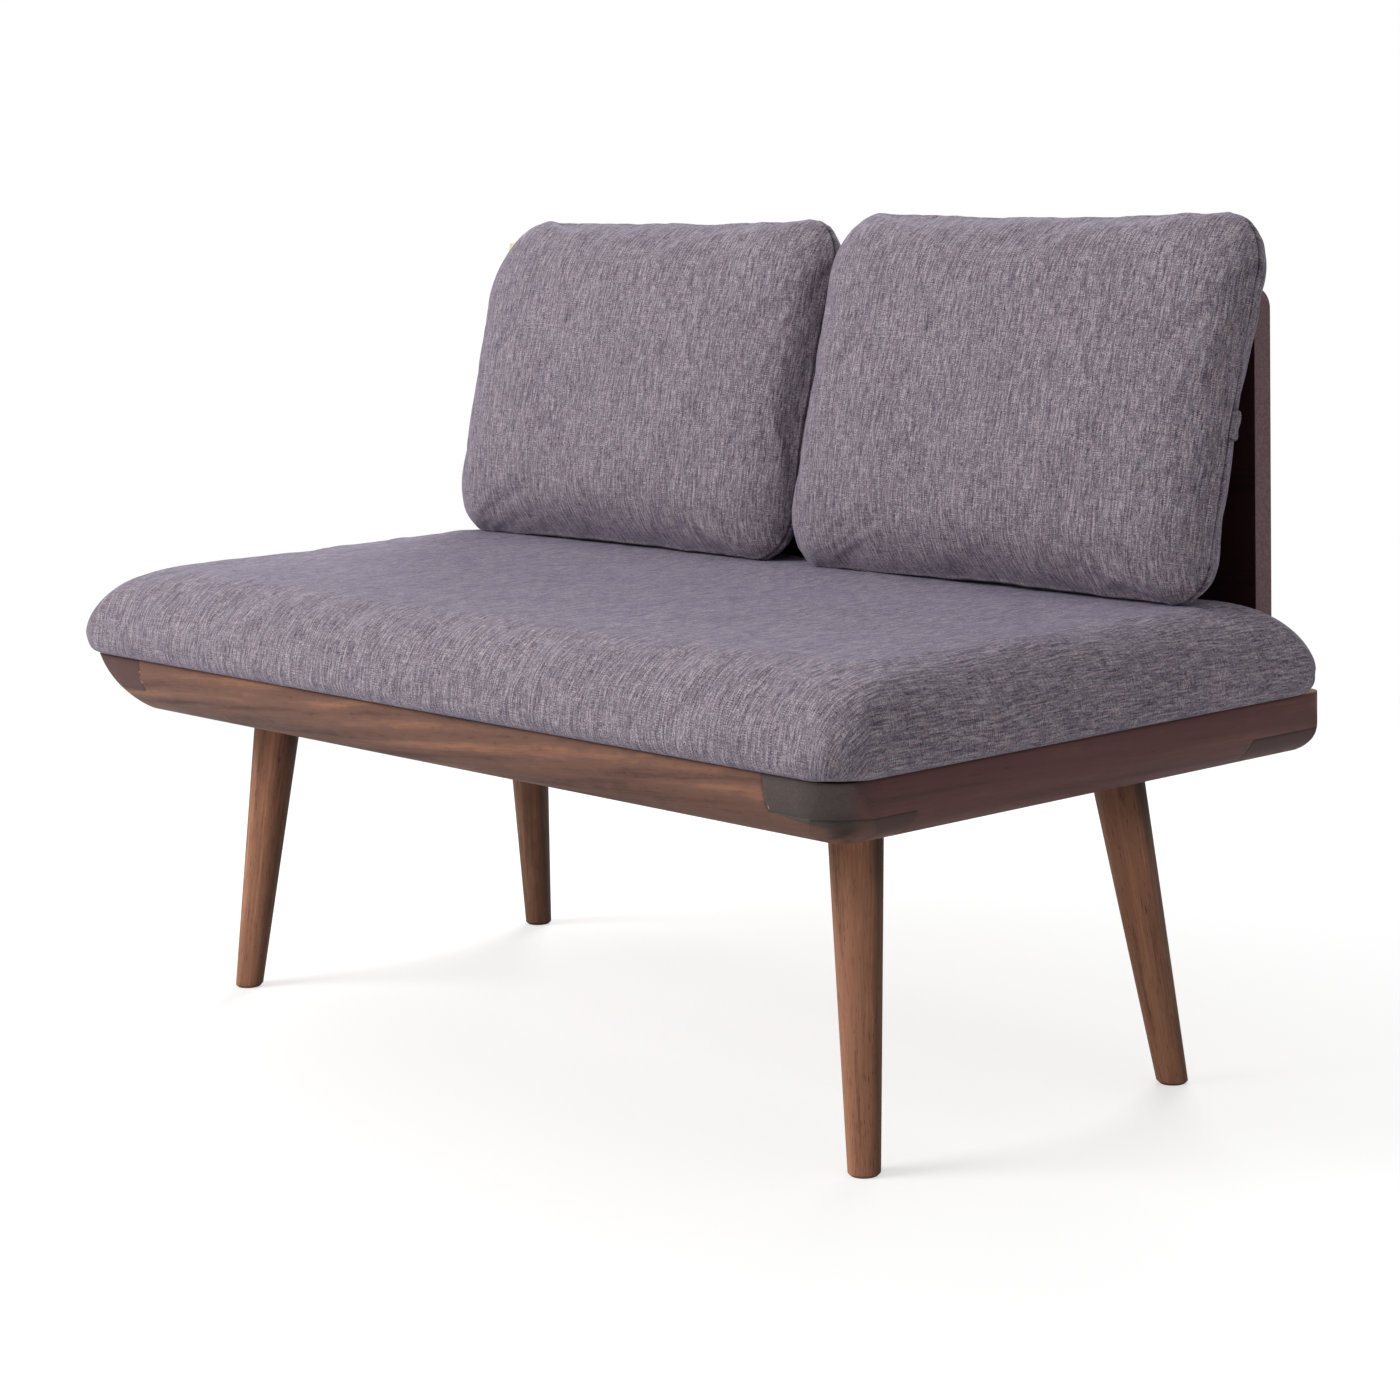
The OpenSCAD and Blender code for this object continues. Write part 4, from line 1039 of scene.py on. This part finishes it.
def pad_surface():
    """Seat pad over its board: rounded rectangles stacked from the pocket round the board, under the hem, out to the
    widest line and up over a roll whose inset and rise follow a squared-off quarter ellipse; the top is closed by a cap.
    The roll changes its width to the back."""
    p = bpy.context.scene.sofa_pad
    low, high = span("seat_cover")
    board_low, board_high = span("seat_board")
    (half_x, half_y, _), mid_y = (high - low) / 2, (high[1] + low[1]) / 2
    base, middle = low[2] + 0.0003, low[2] + p.widest
    depth = high[2] - low[2] - p.widest
    corners = np.array([p.front_corner, p.front_corner, p.rear_corner, p.rear_corner])
    edge = half_x - board_high[0] - 0.0004
    foot, ceiling = board_low[2] - 0.0003, board_high[2] + 0.0004
    pocket, hem = edge + 0.03, edge + 0.046
    rows = [(pocket, ceiling), (edge, ceiling), (edge, foot), (hem, foot), (hem, base), (edge, base)]
    rows += [(p.under_roll * (1 - math.cos(a) ** 0.8), base + p.widest * (1 - math.sin(a) ** 0.9))
             for a in np.radians(UNDER_ANGLES)]
    rows += [(p.roll * (1 - math.cos(a) ** p.power), middle + depth * math.sin(a) ** p.power)
             for a in np.radians(OVER_ANGLES)]
    rings = []
    for k, (inset, level) in enumerate(rows):
        upper = k >= HEM_ROWS + len(UNDER_ANGLES)
        back = p.rear_roll / p.roll if upper else 1.0
        radii = np.full(4, 0.002) if k < HEM_ROWS else corners + inset * np.array([0.34, 0.34, 0.22, 0.22])
        flat, normals = outline(half_x - inset, half_y - inset * (1 + back) / 2, radii, PAD_GRID,
                                centre=(0, mid_y - inset * (1 - back) / 2))
        if upper:
            flat[:, 0] *= 1 + np.clip((flat[:, 1] - mid_y) / half_y, 0, 1) ** 2 * inset * p.flank / half_x
        rings.append(xyz(*flat.T, level))
    flats = unrolled(rings, normals, False)
    points, faces, uv = closed_form(rings, (flats, flats), PAD_GRID, 0)
    x, y, z = points.T
    points[:, 2] += pad_unevenness(points) * np.clip((z - middle) / depth, 0, 1) ** 2
    past_side, past_front = np.abs(x) - span("side_rail_right")[1][0], span("front_rail")[0][1] - y
    outside = np.clip((np.maximum(past_side, past_front) - 0.0005) / 0.007, 0, 1)
    points[:, 2] -= p.droop * outside * np.clip(1 - (z - base) / p.widest, 0, 1)
    return points, faces, uv, len(rows)


# Operators: one for each piece or group of like pieces, and one for the stage


def dress(names, material):
    """Gives nodes of the frame their material."""
    for name in names:
        mesh = NODES[name].data
        mesh.materials.clear()
        mesh.materials.append(material)


# The camera's turn in degrees (yaw, pitch down, roll), place and lens
CAMERA_TURN = (50.01, 9.34, -1.88)
CAMERA_PLACE = (2.54646, -2.08294, 0.87984)
CAMERA_LENS, SENSOR = 86.27, 36.0
LIGHT_SIZE, LIGHT_AIM = 2.6, Vector((0, -0.1, 0.4))
FLOOR_REACH = 12


class SOFA_OT_stage(bpy.types.Operator):
    """Sets the camera, a pale floor that fades into white and is clear from below, two soft lights and fill light"""

    bl_idname = "sofa.stage"
    bl_label = "Stage"

    def execute(self, context):
        stage, scene = context.scene.sofa_stage, context.scene
        yaw, pitch, roll = degrees(*CAMERA_TURN)
        ahead = np.array([-math.sin(yaw) * math.cos(pitch), math.cos(yaw) * math.cos(pitch), -math.sin(pitch)])
        right = np.array([math.cos(yaw), math.sin(yaw), 0])
        up = np.cross(right, ahead)
        cam_x = math.cos(roll) * right + math.sin(roll) * up
        cam_y = -math.sin(roll) * right + math.cos(roll) * up
        camera = bpy.data.objects.new("Camera", bpy.data.cameras.new("Camera"))
        scene.collection.objects.link(camera)
        camera.data.lens, camera.data.sensor_width = CAMERA_LENS, SENSOR
        rows = np.stack([cam_x, cam_y, -ahead, CAMERA_PLACE], 1)
        camera.matrix_world = Matrix([*rows.tolist(), [0, 0, 0, 1]])
        scene.camera = camera
        scene.view_settings.view_transform = "Standard"

        points = xyz(np.array([-1, 1, 1, -1]), np.array([-1, -1, 1, 1]), 0) * FLOOR_REACH
        floor = put_mesh("Floor", points, np.array([[0, 1, 2, 3]]), smooth=False)
        material = bpy.data.materials.new("Pale floor")
        g = clean_graph(material)
        seen, camera_ray = g.camera_sees()
        plain = g.add("BsdfPrincipled", {"Base Color": stage.floor, "Roughness": 0.9, "Specular IOR Level": 0.1})
        near = g.add("AddShader", {0: plain, 1: g.add("Emission", {"Color": (1, 1, 1), "Strength": seen * stage.glow})})
        far = g.add("TexCoord", out="Object").vector("LENGTH", out="Value").ramp(0.9, 2.2) * seen
        surface = g.add("MixShader", {0: far, 1: near, 2: g.add("Emission", {"Color": (1, 1, 1), "Strength": 1.0})})
        below = g.add("NewGeometry", out="Backfacing") * camera_ray
        g.node("OutputMaterial", {"Surface": g.add("MixShader", {0: below, 1: surface, 2: g.add("BsdfTransparent")})})
        floor.data.materials.append(material)

        scene.world = bpy.data.worlds.new("Studio")
        w = clean_graph(scene.world)
        sky = w.add("TexCoord", out="Generated")
        fill = sky.dot(AWAY_FROM_KEY).ramp(-0.4, 0.7, stage.fill * 1.05, stage.fill)
        fill = fill * (sky.split()[2].at_least(0.0) * 1.2 + 0.35)
        strength = w.add("Mix", {0: w.camera_sees()[0], 2: fill, 3: 1.0}, data_type="FLOAT")
        w.node("OutputWorld", {"Surface": w.add("Background", {"Color": (1, 1, 1), "Strength": strength})})

        for name, place, power in (("Key light", (-1.9, -3.4, 2.8), stage.key_power),
                                   ("Back light", (-2.2, 3.2, 2.5), stage.back_power)):
            lamp = bpy.data.lights.new(name, "AREA")
            lamp.shape, lamp.size, lamp.energy = "DISK", LIGHT_SIZE, power
            light = bpy.data.objects.new(name, lamp)
            scene.collection.objects.link(light)
            light.location = place
            light.rotation_euler = (LIGHT_AIM - Vector(place)).to_track_quat("-Z", "Y").to_euler()
        return {"FINISHED"}


class SOFA_OT_base_frame(bpy.types.Operator):
    """Stains the rails: long grain along each, end grain in front of the corner joints, bare wood on top"""

    bl_idname = "sofa.base_frame"
    bl_label = "Base frame"

    def execute(self, context):
        wood = context.scene.sofa_wood
        bare = paint(150, 118, 96)
        long_rail = wood_material(
            "Stained long rail", (wood.rail_light, wood.rail, wood.rail_dark), paint(88, 63, 60), degrees(0, 5, 4),
            (0.2, 0.31, -0.17), across=(1, 0, 0), joints=True, figure=0.66, fibre=0.5, wear_tone=paint(160, 118, 92),
            top=bare, soft=0.006)
        side_rail = wood_material(
            "Stained side rail", (wood.side_light, wood.side, wood.side_dark), wood.side, degrees(3, -2, 90),
            (0.1, 0.12, -0.21), across=(0, 1, 0), joints=True, figure=0.45, fibre=0.45, wear_tone=paint(150, 104, 86),
            top=bare, soft=0.006)
        dress(["front_rail", "rear_rail"], long_rail)
        dress(["side_rail_left", "side_rail_right"], side_rail)
        return {"FINISHED"}


class SOFA_OT_legs(bpy.types.Operator):
    """Stains the four turned legs, each with its grain along its own axis, and paints shade on the side of each that
    faces away from the key light and under the frame
    """

    bl_idname = "sofa.legs"
    bl_label = "Legs"

    def execute(self, context):
        wood = context.scene.sofa_wood
        # Painted shade on each leg: the share of its tone kept low and high on it, least under the frame; the rear left
        # leg is painted dark all over for the shade under the sofa
        painted_leg_shade = {"leg_front_left": (0.97, 0.75), "leg_front_right": (1.05, 0.95), "leg_rear_left": (0.46, 0.36),
                  "leg_rear_right": (1.0, 0.5)}
        for name, stain in painted_leg_shade.items():
            low, high = span(name)
            side, rear = (1 if high[0] > 0 else -1), (1 if high[1] > 0 else -1)
            axis = np.array([-side * 0.037, -rear * 0.034, high[2] - low[2]])
            axis /= np.linalg.norm(axis)
            across = np.cross(axis, [0, 1, 0])
            across /= np.linalg.norm(across)
            turn = Matrix([axis.tolist(), across.tolist(), np.cross(axis, across).tolist()]).to_euler("XYZ")
            dress([name], wood_material(
                "Stained " + name.replace("_", " "), (wood.leg_light, wood.leg, wood.leg_dark), paint(150, 112, 84),
                tuple(turn), (0.13 * side, 0.07 * rear, 0.05 * side), across=tuple(axis), figure=0.5, fibre=1.0,
                pores=0.4, wear=0.5, wear_tone=paint(186, 146, 114), edge=0.0015, away=AWAY_FROM_KEY, stain=stain))
        return {"FINISHED"}


class SOFA_OT_back_panel(bpy.types.Operator):
    """Stains the upright back panel nearly black, with paler end lipping"""

    bl_idname = "sofa.back_panel"
    bl_label = "Back panel"

    def execute(self, context):
        wood = context.scene.sofa_wood
        dress(["back_panel"], wood_material(
            "Dark stained panel", (paint(62, 36, 36), wood.panel, paint(26, 14, 16)), wood.panel_edge, degrees(0, 2, 0),
            (0.4, 0.2, -0.5), across=(1, 0, 0), figure=0.5, fibre=0.6, roughness=0.42, wear=0.35,
            wear_tone=paint(132, 98, 88), edge=0.0015))
        return {"FINISHED"}


class SOFA_OT_inner_parts(bpy.types.Operator):
    """Finishes what shows from below: bearers, leg blocks, dowels, plywood board, foam and the steel fixings"""

    bl_idname = "sofa.inner_parts"
    bl_label = "Inner parts"

    def execute(self, context):
        tones, end = (context.scene.sofa_wood.raw, paint(180, 142, 100), paint(146, 108, 74)), paint(166, 128, 90)
        for name, turn, across, nodes in (
                ("Raw bearer wood", degrees(0, 0, 90), (0, 1, 0), ["cross_bearer_left", "cross_bearer_right"]),
                ("Raw block wood", (0, 0, 0), (1, 0, 0), [n for n in NODES if n.startswith("leg_block")]),
                ("Raw dowel wood", degrees(0, 90, 0), (0, 0, 1), ["corner_dowels"])):
            dress(nodes, wood_material(name, tones, end, turn, across=across, roughness=0.7, wear=0.3, coat=0.0))
        dress(["seat_board"], ply_material())
        dress(["leg_bolts", "leg_inserts", "block_screws", "panel_screws", "seat_screws"], steel_material())
        dress(["seat_foam", "back_cushion_left_foam", "back_cushion_right_foam"], foam_material())
        return {"FINISHED"}


class SOFA_OT_seat_pad(bpy.types.Operator):
    """Builds the upholstered seat pad over the board and foam, drawn tight by a short cloth simulation"""

    bl_idname = "sofa.seat_pad"
    bl_label = "Seat pad"

    def execute(self, context):
        points, faces, uv, rows = pad_surface()
        low, high = span("seat_cover")
        pad = put_mesh("seat_pad", points, faces, uv)
        held = np.ones(len(points), bool)
        held[(HEM_ROWS + len(UNDER_ANGLES)) * PAD_RING : (rows - 1) * PAD_RING] = False
        points = points + inflate(pad, np.flatnonzero(held), 1.5, 0.012, 0.003)
        normals = vertex_normals(points, faces)
        x, y, z = points.T
        ring = np.zeros(len(points))
        ring[: rows * PAD_RING] = np.tile(np.arange(PAD_RING), rows)
        low_edge = bell(z - low[2], 0.014) * (normals[:, 2] > -0.8)
        to_corner = np.hypot(np.maximum(high[0] - np.abs(x), 0), np.minimum(y - low[1], high[1] - y))
        tucks = (np.sin(ring * 1.5) + 0.6 * np.sin(ring * 2.3 + 1)) * low_edge * bell(to_corner, 0.045) * 0.0011
        pulls = np.sin(ring * 0.21) * low_edge * 0.0004
        set_points(pad, points + normals * (tucks + pulls)[:, None])
        cover(pad)
        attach(pad, "frame")
        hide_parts("seat_cover")
        return {"FINISHED"}


# Distance of the staples from the board's edge and from each other
STAPLE_INSET, STAPLE_PITCH = 0.036, 0.042


class SOFA_OT_staples(bpy.types.Operator):
    """Staples the cover's hem to the underside of the seat board"""

    bl_idname = "sofa.staples"
    bl_label = "Staples"

    def execute(self, context):
        low, high = span("seat_board")
        (x0, y0), (x1, y1) = low[:2] + STAPLE_INSET, high[:2] - STAPLE_INSET
        nx, ny = int((x1 - x0) / STAPLE_PITCH), int((y1 - y0) / STAPLE_PITCH)
        xs, ys = np.linspace(x0, x1, nx + 1), np.linspace(y0, y1, ny + 1)
        flat = np.concatenate([xyz(xs, y, 0) for y in (y0, y1)] + [xyz(x, ys[1:-1], 0) for x in (x0, x1)])[:, :2]
        clear = np.ones(len(flat), bool)
        for name in NODES:
            if name.startswith(("cross_bearer", "leg_block")):
                box_low, box_high = span(name)
                clear &= ~np.all((flat > box_low[:2] - 0.006) & (flat < box_high[:2] + 0.006), 1)
        flat = flat[clear]
        rng = np.random.default_rng(12)
        at_side = np.minimum(np.abs(flat[:, 0] - x0), np.abs(flat[:, 0] - x1)) < 1e-4
        turn = rng.normal(0, 0.16, len(flat)) + np.where(at_side, np.pi / 2, 0)
        flat = flat + rng.normal(0, 0.0016, flat.shape)
        places = np.stack([xyz(np.cos(turn), np.sin(turn), 0), xyz(-np.sin(turn), np.cos(turn), 0),
                           xyz(0 * turn, 0, 1), xyz(*flat.T, low[2] - 0.0014)], 1)
        wire = np.array([[-1, -0.5], [1, -0.5], [1, 0.5], [-1, 0.5]]) * 0.0006
        bend = zip((-1, -0.96, -0.8, 0.8, 0.96, 1), (0.0008, 0.0002, 0.0, 0.0, 0.0002, 0.0008))
        loops = np.stack([xyz(k * 0.0055, wire[:, 0], wire[:, 1] + drop) for k, drop in bend])
        staples = small_piece("hem_staples", many(strip(loops), places), steel_material())
        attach(staples, "frame")
        return {"FINISHED"}


SIDES = {-1: "back_cushion_left", 1: "back_cushion_right"}
# The finished rings of each back cushion, which its zip and tab follow
CUSHIONS = {}


class SOFA_OT_back_cushions(bpy.types.Operator):
    """Builds the two loose back cushions with their seam and gathers, filled out by a short cloth simulation"""

    bl_idname = "sofa.back_cushions"
    bl_label = "Back cushions"

    def execute(self, context):
        panel_front = span("back_panel")[0][1]
        for side, body in SIDES.items():
            points, faces, uv = cushion_surface(side)
            cushion = put_mesh(body, points, faces, uv)
            moves = inflate(cushion, SEAM_ROW * CUSHION_RING + np.arange(CUSHION_RING), 1.0, 0.002, 0.012)
            points = points + moves - drawn_back(points, moves)
            points, fold_shade = dress_cushion(points, faces, side)
            points = stand_cushion(points, side)
            points[:, 1] = np.minimum(points[:, 1], panel_front - CLEAR)
            points[:, 2] = np.maximum(points[:, 2], pad_top(points) + CLEAR)
            set_points(cushion, points)
            put_fold_shade(cushion, fold_shade)
            CUSHIONS[body] = cushion_rings(points)
            cover(cushion)
            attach(cushion, body)
            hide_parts(body + "_cover")
        return {"FINISHED"}


class SOFA_OT_zips_and_tabs(bpy.types.Operator):
    """Sews the zip into each cushion's foot seam and the folded tab into its right side seam"""

    bl_idname = "sofa.zips_and_tabs"
    bl_label = "Zips and tabs"

    def execute(self, context):
        tape_cloth, teeth_plastic, pull_metal = zip_materials()
        for side, body in SIDES.items():
            points, faces, uv, fold_shade = side_tab(CUSHIONS[body], body, side)
            tab = put_mesh(body + "_folded_tab", points, faces, uv)
            put_fold_shade(tab, fold_shade)
            outward(tab)
            cover(tab)
            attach(tab, body)
            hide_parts(body + "_tab")

            frames = zip_frames(CUSHIONS[body], body)
            tape = small_piece(body + "_zip_tape", tape_shape(frames), tape_cloth)
            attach(tape, body)
            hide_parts(body + "_zip")

            teeth = small_piece(body + "_zip_teeth", teeth_shape(frames), teeth_plastic)
            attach(teeth, body)

            slider = small_piece(body + "_zip_slider", slider_shape(frames[6]), pull_metal)
            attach(slider, body)
        return {"FINISHED"}


OPERATORS = (SOFA_OT_stage, SOFA_OT_base_frame, SOFA_OT_legs, SOFA_OT_back_panel, SOFA_OT_inner_parts,
             SOFA_OT_seat_pad, SOFA_OT_staples, SOFA_OT_back_cushions, SOFA_OT_zips_and_tabs)


class SOFA_PT_parts(bpy.types.Panel):
    """Lists the parts of the sofa and their settings"""

    bl_idname = "SOFA_PT_parts"
    bl_label = "Armless Sofa"
    bl_space_type = "VIEW_3D"
    bl_region_type = "UI"
    bl_category = "Sofa"

    def draw(self, context):
        for operator in OPERATORS:
            self.layout.operator(operator.bl_idname, text=operator.bl_label)
        for key, kind in GROUPS.items():
            box = self.layout.box()
            for name in kind.__annotations__:
                box.prop(getattr(context.scene, key), name)


CLASSES = (*GROUPS.values(), *OPERATORS, SOFA_PT_parts)


def register():
    for item in CLASSES:
        bpy.utils.register_class(item)
    for key, kind in GROUPS.items():
        setattr(bpy.types.Scene, key, PointerProperty(type=kind))


def unregister():
    for key in GROUPS:
        delattr(bpy.types.Scene, key)
    for item in reversed(CLASSES):
        bpy.utils.unregister_class(item)


def main():
    register()
    bpy.ops.sofa.stage()
    bpy.ops.sofa.base_frame()
    bpy.ops.sofa.legs()
    bpy.ops.sofa.back_panel()
    bpy.ops.sofa.inner_parts()
    bpy.ops.sofa.seat_pad()
    bpy.ops.sofa.staples()
    bpy.ops.sofa.back_cushions()
    bpy.ops.sofa.zips_and_tabs()


if __name__ == "__main__":
    main()
